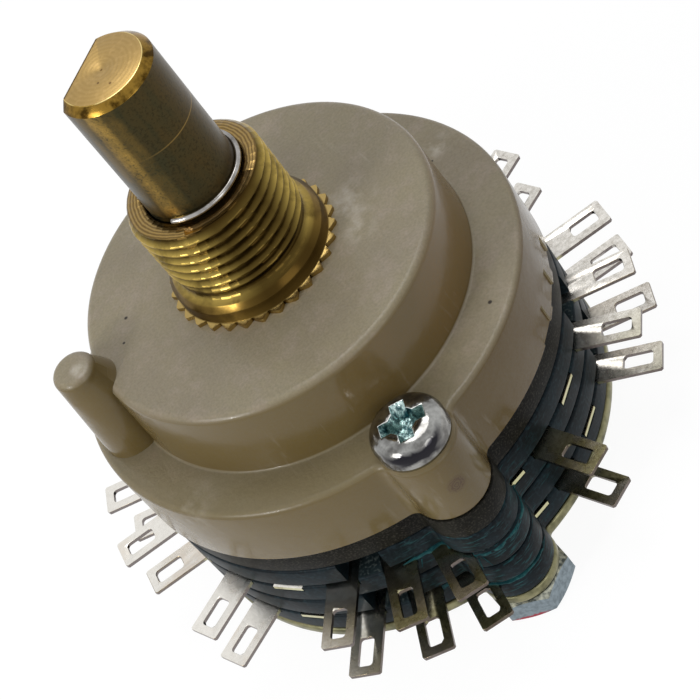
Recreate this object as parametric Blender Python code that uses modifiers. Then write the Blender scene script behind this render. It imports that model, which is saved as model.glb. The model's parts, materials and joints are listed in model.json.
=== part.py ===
"""A wafer rotary switch: shaft and bush, housing with its indexing parts, and two contact wafers."""

import math

import bmesh
import bpy
from mathutils import Matrix, Vector

MM = 0.001

# Fits between pieces
SEAT_GAP = 0.1 * MM
RUNNING_GAP = 0.1 * MM
FREE_GAP = 0.3 * MM
MERGE_DISTANCE = 0.001 * MM
SHARP_ANGLE = math.radians(40.0)

# Angles are counted from +X, with the two screws on -Y and +Y
STEP_ANGLE = 30.0
POSITIONS = 12
SECTION_ANGLE = 90.0
SECTIONS = 4
TRAVEL_ANGLE = 30.0

# Facets of the turned pieces
LARGE_STEPS = 48
MEDIUM_STEPS = 32
SMALL_STEPS = 16
EAR_STEPS = 8
EDGE_STEPS = 3
RING_STEPS = 24

# Shaft
SHAFT_RADIUS = 3.175 * MM
SHAFT_REACH = 18.0 * MM
SHAFT_CHAMFER = 0.45 * MM
CENTRE_MARK_RADIUS = 0.35 * MM
SHAFT_FLAT_DEPTH = 1.6 * MM
SHAFT_FLAT_LENGTH = 9.0 * MM
SHAFT_FLAT_ANGLE = 123.3
SPINDLE_RADIUS = 3.0 * MM
SPINDLE_FLAT = 2.1 * MM
PILOT_RADIUS = 1.9 * MM
PILOT_SINK = 0.1 * MM

# Retaining ring
RING_WIRE_RADIUS = 0.4 * MM
RING_BITE = 0.1 * MM
RING_OPENING = 64.0
RING_OPENING_ANGLE = -171.0
GROOVE_DEPTH = 0.25 * MM

# Bush
BUSH_REACH = 8.0 * MM
THREAD_RADIUS = 4.76 * MM
THREAD_CHAMFER = 0.4 * MM
THREAD_START = 1.75 * MM
THREAD_PITCH = 25.4 / 32.0 * MM
THREAD_DEPTH = 0.43 * MM
THREAD_GROOVES = 7
LIP_RADIUS = 5.0 * MM
COLLAR_RADIUS = 5.34 * MM
COLLAR_HEIGHT = 1.2 * MM
TOOTH_TIP_RADIUS = 5.86 * MM
TOOTH_HEIGHT = 0.4 * MM
TOOTH_COUNT = 30
SHANK_RADIUS = 4.3 * MM

# Housing
DRUM_RADIUS = 12.0 * MM
DRUM_DRAFT = 0.25 * MM
DRUM_HEIGHT = 5.5 * MM
DRUM_ROUNDING = 0.5 * MM
DRUM_WALL = 1.4 * MM
ROOF_THICKNESS = 2.3 * MM
BUSH_SEAT_RADIUS = 6.0 * MM
FLANGE_RADIUS = 15.4 * MM
FLANGE_DRAFT = 0.1 * MM
FLANGE_HEIGHT = 5.2 * MM
FLANGE_ROUNDING = 0.6 * MM
FLANGE_ROOF = 1.1 * MM
FLANGE_CAVITY_RADIUS = 12.8 * MM
FOOT_FILLET = 0.3 * MM
BOSS_RADIUS = 2.6 * MM
BOSS_RISE = 0.1 * MM
BOSS_ROOT = 1.6 * MM
PEG_DISTANCE = 13.1 * MM
PEG_ANGLE = 176.4
PEG_BASE_RADIUS = 1.85 * MM
PEG_TIP_RADIUS = 1.45 * MM
PEG_ROUNDING = 0.5 * MM
PEG_REACH = 1.9 * MM
MARK_ANGLES = (-26.0, -36.5, -47.0)
MARK_WIDTH = 1.9 * MM
MARK_HEIGHT = 1.7 * MM
MARK_DEPTH = 0.3 * MM

# Screws and nuts
SCREW_DISTANCE = 15.4 * MM
SCREW_RADIUS = 1.25 * MM
SCREW_HOLE_GAP = 0.1 * MM
SCREW_TIP_SINK = 0.2 * MM
HEAD_RADIUS = 2.47 * MM
HEAD_TOP_RADIUS = 1.3 * MM
HEAD_HEIGHT = 1.65 * MM
HEAD_RIM_HEIGHT = 0.7 * MM
SHOULDER_STEPS = 4
RECESS_WIDTH = 0.8 * MM
RECESS_LENGTH = 3.1 * MM
RECESS_DEPTH = 1.2 * MM
RECESS_ANGLE = -18.0
NUT_FLAT = 2.65 * MM
NUT_HEIGHT = 1.8 * MM

# Indexing parts
LOBE_MEAN_RADIUS = 9.0 * MM
LOBE_DEPTH = 0.45 * MM
LOBE_HEIGHT = 2.8 * MM
LOBE_POINTS = 72
HUB_RADIUS = 4.6 * MM
INDEX_CLEARANCE = 0.5 * MM
STOP_ARM_REACH = 8.9 * MM
STOP_ARM_HALF_ANGLE = 8.0
STOP_ARM_HEIGHT = 2.0 * MM
STOP_RING_WALL = 0.9 * MM
STOP_RING_HEIGHT = 2.6 * MM
STOP_TOOTH_HALF_ANGLE = 5.0
STOP_TOOTH_INNER_RADIUS = 6.6 * MM
STOP_PLAY_ANGLE = 1.5
STOP_DIRECTION = 90.0
SPRING_THICKNESS = 0.25 * MM
SPRING_HEIGHT = 2.4 * MM
SPRING_HALF_LENGTH = 7.0 * MM
SPRING_END_RISE = 0.9 * MM
SPRING_SHOULDER = 0.65 * MM
SPRING_BUMP_HALF_WIDTH = 1.6 * MM
SPRING_STEPS = 14

# Index plate, back plate and wafers
INDEX_PLATE_RADIUS = 15.25 * MM
INDEX_PLATE_THICKNESS = 1.9 * MM
BACK_PLATE_RADIUS = 15.35 * MM
BACK_PLATE_THICKNESS = 0.8 * MM
EAR_RADIUS = 2.7 * MM
WAFER_RADIUS = 15.3 * MM
FRONT_HALF_THICKNESS = 1.85 * MM
BACK_HALF_THICKNESS = 1.75 * MM
WAFER_FLOOR = 0.6 * MM
WAFER_CAVITY_RADIUS = 12.7 * MM
GROOVE_DROP = 0.5 * MM
STRIP_RECESS_OUTER = 12.0 * MM
STRIP_RECESS_INNER = 6.6 * MM
WINDOW_HALF_ANGLE = 5.6
WINDOW_DEPTH = 1.8 * MM
WINDOW_OFFSET = -7.5

# Contacts
STRIP_THICKNESS = 0.4 * MM
LUG_TIP_RADIUS = 19.7 * MM
LUG_HALF_WIDTH = 1.1 * MM
LUG_CORNER = 0.35 * MM
EYE_INNER = 17.05 * MM
EYE_OUTER = 19.1 * MM
EYE_HALF_WIDTH = 0.52 * MM
PAD_INNER_RADIUS = 10.2 * MM
FIRST_WAY_ANGLE = -97.0
COMMON_ANGLE = -22.0
COMMON_INNER_RADIUS = 7.2 * MM
COMMON_OUTER_RADIUS = 9.0 * MM
COMMON_ARC_START = -51.0
COMMON_ARC_END = 34.0
COMMON_END_ANGLE = 1.0
TAIL_NECK_HALF_WIDTH = 0.75 * MM
TAIL_SHOULDER_RADIUS = 12.0 * MM
BOSS_SHIFT = 2.7

# Rotors and wipers
ROTOR_RADIUS = 12.3 * MM
ROTOR_THICKNESS = 0.6 * MM
ROTOR_HUB_RADIUS = 5.0 * MM
ROTOR_TOP_CLEARANCE = 0.15 * MM
ROTOR_END_CLEARANCE = 0.1 * MM
WIPER_HALF_LENGTH = 2.0 * MM
WIPER_HALF_WIDTH = 0.8 * MM
WIPER_THICKNESS = 0.2 * MM
WIPER_CROWN = 0.9 * MM
POCKET_DEPTH = 0.2 * MM

# Heights, from the lower faces of the nuts at 0 up to the tip of the shaft
BACK_PLATE_BOTTOM = NUT_HEIGHT + SEAT_GAP
BACK_PLATE_TOP = BACK_PLATE_BOTTOM + BACK_PLATE_THICKNESS
WAFER_THICKNESS = FRONT_HALF_THICKNESS + SEAT_GAP + BACK_HALF_THICKNESS
WAFER_B_BOTTOM = BACK_PLATE_TOP + SEAT_GAP
WAFER_A_BOTTOM = WAFER_B_BOTTOM + WAFER_THICKNESS + SEAT_GAP
INDEX_PLATE_BOTTOM = WAFER_A_BOTTOM + WAFER_THICKNESS + SEAT_GAP
INDEX_PLATE_TOP = INDEX_PLATE_BOTTOM + INDEX_PLATE_THICKNESS
FLANGE_BOTTOM = INDEX_PLATE_TOP + SEAT_GAP
FLANGE_TOP = FLANGE_BOTTOM + FLANGE_HEIGHT
DRUM_TOP = FLANGE_TOP + DRUM_HEIGHT
ROOF_BOTTOM = DRUM_TOP - ROOF_THICKNESS
BOSS_TOP = FLANGE_TOP + BOSS_RISE
FLANGE_CAVITY_TOP = FLANGE_TOP - FLANGE_ROOF
DRUM_CAVITY_RADIUS = DRUM_RADIUS - DRUM_WALL
BUSH_TOP = DRUM_TOP + BUSH_REACH
SHAFT_TOP = DRUM_TOP + SHAFT_REACH
BORE_RADIUS = SHAFT_RADIUS + RUNNING_GAP
SCREW_HOLE_RADIUS = SCREW_RADIUS + SCREW_HOLE_GAP
INDEX_ROTOR_TOP = ROOF_BOTTOM - FREE_GAP
LOBE_BOTTOM = INDEX_PLATE_TOP + INDEX_CLEARANCE
LOBE_TOP = LOBE_BOTTOM + LOBE_HEIGHT


def new_collection(name, parent):
    collection = bpy.data.collections.new(name)
    parent.children.link(collection)
    return collection


def new_material(name, color, roughness, metallic):
    material = bpy.data.materials.new(name)
    material.use_nodes = True
    shader = material.node_tree.nodes["Principled BSDF"]
    shader.inputs["Base Color"].default_value = (*color, 1.0)
    shader.inputs["Roughness"].default_value = roughness
    shader.inputs["Metallic"].default_value = metallic
    return material


for old_object in list(bpy.data.objects):
    bpy.data.objects.remove(old_object, do_unlink=True)

SCENE_ROOT = bpy.context.scene.collection
PARTS = new_collection("wafer_rotary_switch", SCENE_ROOT)
CUTTERS = new_collection("cutters", SCENE_ROOT)

AGED_BRASS = new_material("aged_brass", (0.19, 0.15, 0.08), 0.35, 1.0)
BRIGHT_BRASS = new_material("bright_brass", (0.72, 0.52, 0.24), 0.25, 1.0)
SPRING_STEEL = new_material("spring_steel", (0.62, 0.62, 0.64), 0.3, 1.0)
BEIGE_NYLON = new_material("beige_nylon", (0.36, 0.33, 0.25), 0.35, 0.0)
WHITE_ACETAL = new_material("white_acetal", (0.75, 0.74, 0.7), 0.4, 0.0)
DARK_PLATE = new_material("dark_plate", (0.05, 0.05, 0.045), 0.4, 0.0)
TEAL_MOULDING = new_material("teal_moulding", (0.04, 0.07, 0.08), 0.45, 0.0)
NICKEL_PLATE = new_material("nickel_plate", (0.6, 0.59, 0.52), 0.3, 1.0)
TINNED_LUG = new_material("tinned_lug", (0.7, 0.68, 0.6), 0.3, 1.0)
PHOSPHOR_BRONZE = new_material("phosphor_bronze", (0.62, 0.42, 0.24), 0.3, 1.0)
ZINC_STEEL = new_material("zinc_steel", (0.55, 0.58, 0.6), 0.3, 1.0)


def rotated(angle):
    return Matrix.Rotation(math.radians(angle), 4, "Z")


def polar(radius, angle):
    """A point in the XY plane, from a radius and an angle in degrees."""
    turn = math.radians(angle)
    return (radius * math.cos(turn), radius * math.sin(turn))


def arc(centre, radius, start, end, steps):
    """Points along an arc, its two ends included."""
    points = []
    for index in range(steps + 1):
        angle = start + (end - start) * index / steps
        x, y = polar(radius, angle)
        points.append((centre[0] + x, centre[1] + y))
    return points


def circle(centre, radius, steps):
    return arc(centre, radius, 0.0, 360.0, steps)[:-1]


def link_object(name, mesh, material):
    """Put a mesh in the scene as a piece, or as a cutter when it has no material."""
    piece = bpy.data.objects.new(name, mesh)
    if material is None:
        CUTTERS.objects.link(piece)
        piece.hide_render = True
        piece.display_type = "WIRE"
        return piece
    PARTS.objects.link(piece)
    if not mesh.materials:
        mesh.materials.append(material)
    return piece


def turned(name, profile, steps, material=None):
    """Turn a closed (radius, height) profile about Z with a Screw modifier."""
    section = bpy.data.meshes.new(name)
    on_axis = profile[0][0] == 0.0 and profile[-1][0] == 0.0
    edges = [(index, index + 1) for index in range(len(profile) - 1)]
    if not on_axis:
        edges.append((len(profile) - 1, 0))
    section.from_pydata([(radius, 0.0, height) for radius, height in profile], edges, [])
    guide = bpy.data.objects.new(name, section)
    screw = guide.modifiers.new("turn", "SCREW")
    screw.axis = "Z"
    screw.steps = steps
    screw.render_steps = steps
    screw.use_merge_vertices = True
    screw.merge_threshold = MERGE_DISTANCE
    return link_object(name, evaluated_mesh(name, guide), material)


def flat_mesh(name, loops, thickness):
    """A flat outline with its holes, as a closed mesh whose middle plane is at height 0."""
    curve = bpy.data.curves.new(name, "CURVE")
    curve.dimensions = "2D"
    curve.fill_mode = "BOTH"
    curve.extrude = thickness / 2.0
    for loop in loops:
        spline = curve.splines.new("POLY")
        spline.points.add(len(loop) - 1)
        for point, (x, y) in zip(spline.points, loop):
            point.co = (x, y, 0.0, 1.0)
        spline.use_cyclic_u = True
    return evaluated_mesh(name, bpy.data.objects.new(name, curve))


def evaluated_mesh(name, guide):
    """Read a guide object as one welded mesh, smooth where it is round."""
    SCENE_ROOT.objects.link(guide)
    evaluated = guide.evaluated_get(bpy.context.evaluated_depsgraph_get())
    mesh = bpy.data.meshes.new_from_object(evaluated)
    mesh.name = name
    bpy.data.objects.remove(guide, do_unlink=True)
    shape = bmesh.new()
    shape.from_mesh(mesh)
    bmesh.ops.remove_doubles(shape, verts=shape.verts, dist=MERGE_DISTANCE)
    bmesh.ops.recalc_face_normals(shape, faces=shape.faces)
    shape.to_mesh(mesh)
    shape.free()
    mesh.materials.clear()
    mesh.shade_smooth()
    mesh.set_sharp_from_angle(angle=SHARP_ANGLE)
    return mesh


def flat_piece(name, loops, bottom, top, material=None):
    """A flat outline standing between two heights."""
    piece = link_object(name, flat_mesh(name, loops, top - bottom), material)
    piece.location.z = (bottom + top) / 2.0
    return piece


def box_cutter(name, low, high, angle=0.0):
    """A box between two corners, turned about Z."""
    mesh = bpy.data.meshes.new(name)
    shape = bmesh.new()
    bmesh.ops.create_cube(shape, size=1.0)
    shape.to_mesh(mesh)
    shape.free()
    size = [high[axis] - low[axis] for axis in range(3)]
    middle = [(high[axis] + low[axis]) / 2.0 for axis in range(3)]
    mesh.transform(Matrix.Translation(middle) @ Matrix.Diagonal((*size, 1.0)))
    cutter = link_object(name, mesh, None)
    cutter.matrix_world = rotated(angle)
    return cutter


def apply_tools(piece, operation, tools):
    """Join or cut a piece with a group of tools, in one Boolean modifier."""
    group = new_collection(piece.name + "_" + operation.lower(), CUTTERS)
    for tool in tools:
        CUTTERS.objects.unlink(tool)
        group.objects.link(tool)
    boolean = piece.modifiers.new(operation.lower(), "BOOLEAN")
    boolean.operation = operation
    boolean.operand_type = "COLLECTION"
    boolean.collection = group
    boolean.solver = "EXACT"


def join(piece, tools):
    apply_tools(piece, "UNION", tools)


def cut(piece, tools):
    apply_tools(piece, "DIFFERENCE", tools)


def eared_outline(radius, ear_radius):
    """A disc with a round ear about each screw."""
    side = math.degrees(math.asin(ear_radius / radius))
    half_steps = LARGE_STEPS // 2 - 2
    points = arc((0.0, 0.0), radius, side - 90.0, 90.0 - side, half_steps)
    points += arc((0.0, SCREW_DISTANCE), ear_radius, 0.0, 180.0, EAR_STEPS)
    points += arc((0.0, 0.0), radius, 90.0 + side, 270.0 - side, half_steps)
    points += arc((0.0, -SCREW_DISTANCE), ear_radius, 180.0, 360.0, EAR_STEPS)
    return points


def screw_hole_loops():
    return [circle((0.0, side * SCREW_DISTANCE), SCREW_HOLE_RADIUS, SMALL_STEPS) for side in (-1, 1)]


def double_d_loop(radius, flat):
    """A circle with two flats that face -X and +X."""
    side = math.degrees(math.acos(flat / radius))
    upper = arc((0.0, 0.0), radius, side, 180.0 - side, EAR_STEPS)
    lower = arc((0.0, 0.0), radius, 180.0 + side, 360.0 - side, EAR_STEPS)
    return upper + lower


def drive_hole(name, bottom, top):
    """The hole that the flats of the spindle drive."""
    loop = double_d_loop(SPINDLE_RADIUS + RUNNING_GAP, SPINDLE_FLAT + RUNNING_GAP)
    return flat_piece(name, [loop], bottom, top)


def way_angles():
    """The twelve way contacts, with those beside a screw moved clear of its boss."""
    angles = [FIRST_WAY_ANGLE + STEP_ANGLE * index for index in range(POSITIONS)]
    return [moved_off_boss(angle) for angle in angles]


def moved_off_boss(angle):
    for screw_angle in (-90.0, 90.0):
        offset = angle - screw_angle
        if abs(offset) < STEP_ANGLE / 2.0:
            return angle + math.copysign(BOSS_SHIFT, offset)
    return angle


def tail_angles(section):
    """The three tails of one common contact; only the middle one is left long as a lug."""
    middle = COMMON_ANGLE + SECTION_ANGLE * section
    if middle > 180.0:
        middle -= 360.0
    return [moved_off_boss(middle + offset) for offset in (-STEP_ANGLE, 0.0, STEP_ANGLE)]


def make_shaft():
    groove_bottom = BUSH_TOP + SEAT_GAP - RING_BITE
    groove_top = BUSH_TOP + SEAT_GAP + 2.0 * RING_WIRE_RADIUS + RING_BITE
    shoulder = ROOF_BOTTOM - RUNNING_GAP
    pilot_top = BACK_PLATE_TOP + RUNNING_GAP
    pilot_bottom = BACK_PLATE_BOTTOM + PILOT_SINK
    profile = [
        (0.0, SHAFT_TOP - CENTRE_MARK_RADIUS),
        (CENTRE_MARK_RADIUS, SHAFT_TOP),
        (SHAFT_RADIUS - SHAFT_CHAMFER, SHAFT_TOP),
        (SHAFT_RADIUS, SHAFT_TOP - SHAFT_CHAMFER),
        (SHAFT_RADIUS, groove_top),
        (SHAFT_RADIUS - GROOVE_DEPTH, groove_top),
        (SHAFT_RADIUS - GROOVE_DEPTH, groove_bottom),
        (SHAFT_RADIUS, groove_bottom),
        (SHAFT_RADIUS, shoulder),
        (SPINDLE_RADIUS, shoulder),
        (SPINDLE_RADIUS, pilot_top),
        (PILOT_RADIUS, pilot_top),
        (PILOT_RADIUS, pilot_bottom),
        (0.0, pilot_bottom),
    ]
    shaft = turned("shaft", profile, MEDIUM_STEPS, AGED_BRASS)
    reach = 2.0 * SHAFT_RADIUS
    knob_flat = box_cutter(
        "knob_flat",
        (SHAFT_RADIUS - SHAFT_FLAT_DEPTH, -reach, SHAFT_TOP - SHAFT_FLAT_LENGTH),
        (reach, reach, SHAFT_TOP + reach),
        SHAFT_FLAT_ANGLE,
    )
    spindle_flats = [
        box_cutter("spindle_flat", (SPINDLE_FLAT, -reach, 0.0), (reach, reach, shoulder), angle)
        for angle in (0.0, 180.0)
    ]
    cut(shaft, [knob_flat] + spindle_flats)


def make_retaining_ring():
    """An open wire ring in the groove of the shaft, just above the bush."""
    ring_radius = SHAFT_RADIUS + RING_WIRE_RADIUS - RING_BITE
    start = RING_OPENING_ANGLE + RING_OPENING / 2.0
    end = RING_OPENING_ANGLE + 360.0 - RING_OPENING / 2.0
    curve = bpy.data.curves.new("retaining_ring", "CURVE")
    curve.dimensions = "3D"
    curve.bevel_depth = RING_WIRE_RADIUS
    curve.bevel_resolution = 1
    curve.use_fill_caps = True
    route = arc((0.0, 0.0), ring_radius, start, end, RING_STEPS)
    spline = curve.splines.new("POLY")
    spline.points.add(len(route) - 1)
    for point, (x, y) in zip(spline.points, route):
        point.co = (x, y, 0.0, 1.0)
    wire = bpy.data.objects.new("retaining_ring", curve)
    ring = link_object("retaining_ring", evaluated_mesh("retaining_ring", wire), SPRING_STEEL)
    ring.location.z = BUSH_TOP + SEAT_GAP + RING_WIRE_RADIUS


def make_bush():
    """The thread is cut as rings of the true pitch and depth, not as a helix."""
    base = DRUM_TOP
    first_crest = BUSH_TOP - THREAD_CHAMFER
    profile = [
        (BORE_RADIUS, BUSH_TOP),
        (THREAD_RADIUS - THREAD_CHAMFER, BUSH_TOP),
        (THREAD_RADIUS, first_crest),
    ]
    for groove in range(THREAD_GROOVES):
        profile.append((THREAD_RADIUS - THREAD_DEPTH, first_crest - (groove + 0.5) * THREAD_PITCH))
        profile.append((THREAD_RADIUS, first_crest - (groove + 1.0) * THREAD_PITCH))
    profile += [
        (THREAD_RADIUS, DRUM_TOP + THREAD_START),
        (LIP_RADIUS, DRUM_TOP + THREAD_START),
        (COLLAR_RADIUS, DRUM_TOP + COLLAR_HEIGHT),
        (COLLAR_RADIUS, base),
        (SHANK_RADIUS, base),
        (SHANK_RADIUS, ROOF_BOTTOM),
        (BORE_RADIUS, ROOF_BOTTOM),
    ]
    bush = turned("bush", profile, MEDIUM_STEPS, BRIGHT_BRASS)
    teeth = []
    for index in range(TOOTH_COUNT):
        angle = 360.0 * index / TOOTH_COUNT
        teeth.append(polar(COLLAR_RADIUS, angle))
        teeth.append(polar(TOOTH_TIP_RADIUS, angle + 180.0 / TOOTH_COUNT))
    hole = circle((0.0, 0.0), (BORE_RADIUS + SHANK_RADIUS) / 2.0, MEDIUM_STEPS)
    join(bush, [flat_piece("tooth_ring", [teeth, hole], base, base + TOOTH_HEIGHT)])


def rounded_edge(radius, height, rounding):
    """Profile points round an outer upper edge, from its top face to its side."""
    return arc((radius - rounding, height - rounding), rounding, 90.0, 0.0, EDGE_STEPS)


def make_housing():
    """Drum, flange, screw bosses and locating peg in one moulding, open at the back."""
    shank_hole = SHANK_RADIUS + SEAT_GAP
    drum_foot = DRUM_RADIUS + DRUM_DRAFT
    drum_edge = rounded_edge(DRUM_RADIUS, DRUM_TOP, DRUM_ROUNDING)
    flange_edge = rounded_edge(FLANGE_RADIUS, FLANGE_TOP, FLANGE_ROUNDING)
    # The toothed foot of the bush lies in a shallow seat, so that the face round it stays free
    bush_seat = DRUM_TOP - SEAT_GAP
    profile = [(shank_hole, bush_seat), (BUSH_SEAT_RADIUS, bush_seat), (BUSH_SEAT_RADIUS, DRUM_TOP)]
    profile += drum_edge
    profile += [(drum_foot, FLANGE_TOP + FOOT_FILLET), (drum_foot + FOOT_FILLET, FLANGE_TOP)]
    profile += flange_edge
    profile += [
        (FLANGE_RADIUS + FLANGE_DRAFT, FLANGE_BOTTOM),
        (FLANGE_CAVITY_RADIUS, FLANGE_BOTTOM),
        (FLANGE_CAVITY_RADIUS, FLANGE_CAVITY_TOP),
        (DRUM_CAVITY_RADIUS, FLANGE_CAVITY_TOP),
        (DRUM_CAVITY_RADIUS, ROOF_BOTTOM),
        (shank_hole, ROOF_BOTTOM),
    ]
    housing = turned("housing", profile, LARGE_STEPS, BEIGE_NYLON)
    bosses = []
    for side in (-1, 1):
        start = 0.0 if side > 0 else 180.0
        outline = [(side * BOSS_RADIUS, side * (SCREW_DISTANCE - BOSS_ROOT))]
        outline += arc((0.0, side * SCREW_DISTANCE), BOSS_RADIUS, start, start + 180.0, EAR_STEPS)
        outline += [(-side * BOSS_RADIUS, side * (SCREW_DISTANCE - BOSS_ROOT))]
        bosses.append(flat_piece("boss", [outline], FLANGE_BOTTOM, BOSS_TOP))
    peg_bottom = FLANGE_TOP - FLANGE_ROOF / 2.0
    peg_top = DRUM_TOP + PEG_REACH
    peg_profile = [(0.0, peg_top)]
    peg_profile += rounded_edge(PEG_TIP_RADIUS, peg_top, PEG_ROUNDING)
    peg_profile += [(PEG_BASE_RADIUS, peg_bottom), (0.0, peg_bottom)]
    peg = turned("peg", peg_profile, SMALL_STEPS)
    peg.location = (*polar(PEG_DISTANCE, PEG_ANGLE), 0.0)
    join(housing, bosses + [peg])
    screw_holes = []
    for loop in screw_hole_loops():
        screw_holes.append(flat_piece("screw_hole", [loop], FLANGE_BOTTOM - FREE_GAP, BOSS_TOP + FREE_GAP))
    marks = []
    for angle in MARK_ANGLES:
        low = (FLANGE_RADIUS + FLANGE_DRAFT - MARK_DEPTH, -MARK_WIDTH / 2.0, FLANGE_BOTTOM - FREE_GAP)
        high = (FLANGE_RADIUS + BOSS_RADIUS, MARK_WIDTH / 2.0, FLANGE_BOTTOM + MARK_HEIGHT)
        marks.append(box_cutter("rim_mark", low, high, angle))
    cut(housing, screw_holes + marks)


def make_screws():
    """One pan head screw through each boss, with a cross recess."""
    head_bottom = BOSS_TOP + SEAT_GAP
    head_top = head_bottom + HEAD_HEIGHT
    rim_top = head_bottom + HEAD_RIM_HEIGHT
    profile = [(0.0, head_top)]
    for x, y in arc((0.0, 0.0), 1.0, 90.0, 0.0, SHOULDER_STEPS):
        shoulder_radius = HEAD_TOP_RADIUS + (HEAD_RADIUS - HEAD_TOP_RADIUS) * x
        profile.append((shoulder_radius, rim_top + (head_top - rim_top) * y))
    profile += [
        (HEAD_RADIUS, head_bottom),
        (SCREW_RADIUS, head_bottom),
        (SCREW_RADIUS, SCREW_TIP_SINK),
        (0.0, SCREW_TIP_SINK),
    ]
    for name, side in (("screw_front", -1), ("screw_rear", 1)):
        screw = turned(name, profile, SMALL_STEPS, ZINC_STEEL)
        screw.location.y = side * SCREW_DISTANCE
        slots = []
        for turn in (0.0, 90.0):
            low = (-RECESS_LENGTH / 2.0, -RECESS_WIDTH / 2.0, head_top - RECESS_DEPTH)
            high = (RECESS_LENGTH / 2.0, RECESS_WIDTH / 2.0, head_top + FREE_GAP)
            slot = box_cutter("recess", low, high)
            slot.matrix_world = Matrix.Translation(screw.location) @ rotated(RECESS_ANGLE + turn)
            slots.append(slot)
        cut(screw, slots)


def make_nuts():
    corner = NUT_FLAT / math.cos(math.radians(30.0))
    hexagon = circle((0.0, 0.0), corner, 6)
    hole = circle((0.0, 0.0), SCREW_HOLE_RADIUS, SMALL_STEPS)
    for name, side in (("nut_front", -1), ("nut_rear", 1)):
        nut = flat_piece(name, [hexagon, hole], 0.0, NUT_HEIGHT, ZINC_STEEL)
        nut.location.y = side * SCREW_DISTANCE
        nut.rotation_euler.z = math.radians(30.0)


def make_plates():
    """The dark plate that closes the housing, and the metal plate under the last wafer."""
    spindle_hole = circle((0.0, 0.0), SPINDLE_RADIUS + RUNNING_GAP, MEDIUM_STEPS)
    pilot_hole = circle((0.0, 0.0), PILOT_RADIUS + RUNNING_GAP, SMALL_STEPS)
    index_loops = [eared_outline(INDEX_PLATE_RADIUS, EAR_RADIUS), spindle_hole] + screw_hole_loops()
    flat_piece("index_plate", index_loops, INDEX_PLATE_BOTTOM, INDEX_PLATE_TOP, DARK_PLATE)
    back_loops = [eared_outline(BACK_PLATE_RADIUS, EAR_RADIUS), pilot_hole] + screw_hole_loops()
    flat_piece("back_plate", back_loops, BACK_PLATE_BOTTOM, BACK_PLATE_TOP, NICKEL_PLATE)


def make_index_rotor():
    """Twelve-lobed wheel on a hub, with the arm that meets the stops."""
    profile = [
        (0.0, INDEX_ROTOR_TOP),
        (HUB_RADIUS, INDEX_ROTOR_TOP),
        (HUB_RADIUS, LOBE_BOTTOM),
        (0.0, LOBE_BOTTOM),
    ]
    rotor = turned("index_rotor", profile, MEDIUM_STEPS, WHITE_ACETAL)
    lobes = []
    for index in range(LOBE_POINTS):
        angle = 360.0 * index / LOBE_POINTS
        radius = LOBE_MEAN_RADIUS - LOBE_DEPTH * math.cos(math.radians(POSITIONS * angle))
        lobes.append(polar(radius, angle))
    wheel = flat_piece("lobes", [lobes], LOBE_BOTTOM, LOBE_TOP)
    arm_top = INDEX_ROTOR_TOP - FREE_GAP
    arm_start = STOP_DIRECTION - STOP_ARM_HALF_ANGLE
    arm_end = STOP_DIRECTION + STOP_ARM_HALF_ANGLE
    arm_loop = [polar(HUB_RADIUS / 2.0, arm_start)]
    arm_loop += arc((0.0, 0.0), STOP_ARM_REACH, arm_start, arm_end, 4)
    arm_loop += [polar(HUB_RADIUS / 2.0, arm_end)]
    arm = flat_piece("stop_arm", [arm_loop], arm_top - STOP_ARM_HEIGHT, arm_top)
    join(rotor, [wheel, arm])
    cut(rotor, [drive_hole("index_drive", LOBE_BOTTOM - FREE_GAP, INDEX_ROTOR_TOP + FREE_GAP)])


def stop_tooth(angle):
    start = angle - STOP_TOOTH_HALF_ANGLE
    return arc((0.0, 0.0), STOP_TOOTH_INNER_RADIUS, start, start + 2.0 * STOP_TOOTH_HALF_ANGLE, 2)


def ring_wall(radius, tooth, next_tooth):
    """The inner wall of the stop ring, from one tooth to the next."""
    start = tooth + STOP_TOOTH_HALF_ANGLE
    end = next_tooth - STOP_TOOTH_HALF_ANGLE
    steps = round(LARGE_STEPS * (end - start) / 360.0)
    return arc((0.0, 0.0), radius, start, end, steps)


def make_stop_ring():
    """The ring whose two teeth end the travel of the arm."""
    outer = DRUM_CAVITY_RADIUS - SEAT_GAP
    inner = outer - STOP_RING_WALL
    half_span = TRAVEL_ANGLE + STOP_ARM_HALF_ANGLE + STOP_PLAY_ANGLE + STOP_TOOTH_HALF_ANGLE
    first_tooth = STOP_DIRECTION - half_span
    second_tooth = STOP_DIRECTION + half_span
    loop = stop_tooth(first_tooth)
    loop += ring_wall(inner, first_tooth, second_tooth)
    loop += stop_tooth(second_tooth)
    loop += ring_wall(inner, second_tooth, first_tooth + 360.0)
    top = ROOF_BOTTOM - SEAT_GAP
    outline = circle((0.0, 0.0), outer, LARGE_STEPS)
    flat_piece("stop_ring", [outline, loop], top - STOP_RING_HEIGHT, top, SPRING_STEEL)


def spring_line(y):
    """How far from the axis the middle of the detent spring lies, at a distance y along it."""
    valley = LOBE_MEAN_RADIUS - LOBE_DEPTH
    tip = valley + SEAT_GAP + SPRING_THICKNESS / 2.0
    share = min(abs(y) / SPRING_BUMP_HALF_WIDTH, 1.0)
    rise = SPRING_SHOULDER * (1.0 - math.cos(math.pi * share)) / 2.0
    beyond = max(abs(y) - SPRING_BUMP_HALF_WIDTH, 0.0) / (SPRING_HALF_LENGTH - SPRING_BUMP_HALF_WIDTH)
    return tip + rise + SPRING_END_RISE * beyond * beyond


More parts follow.
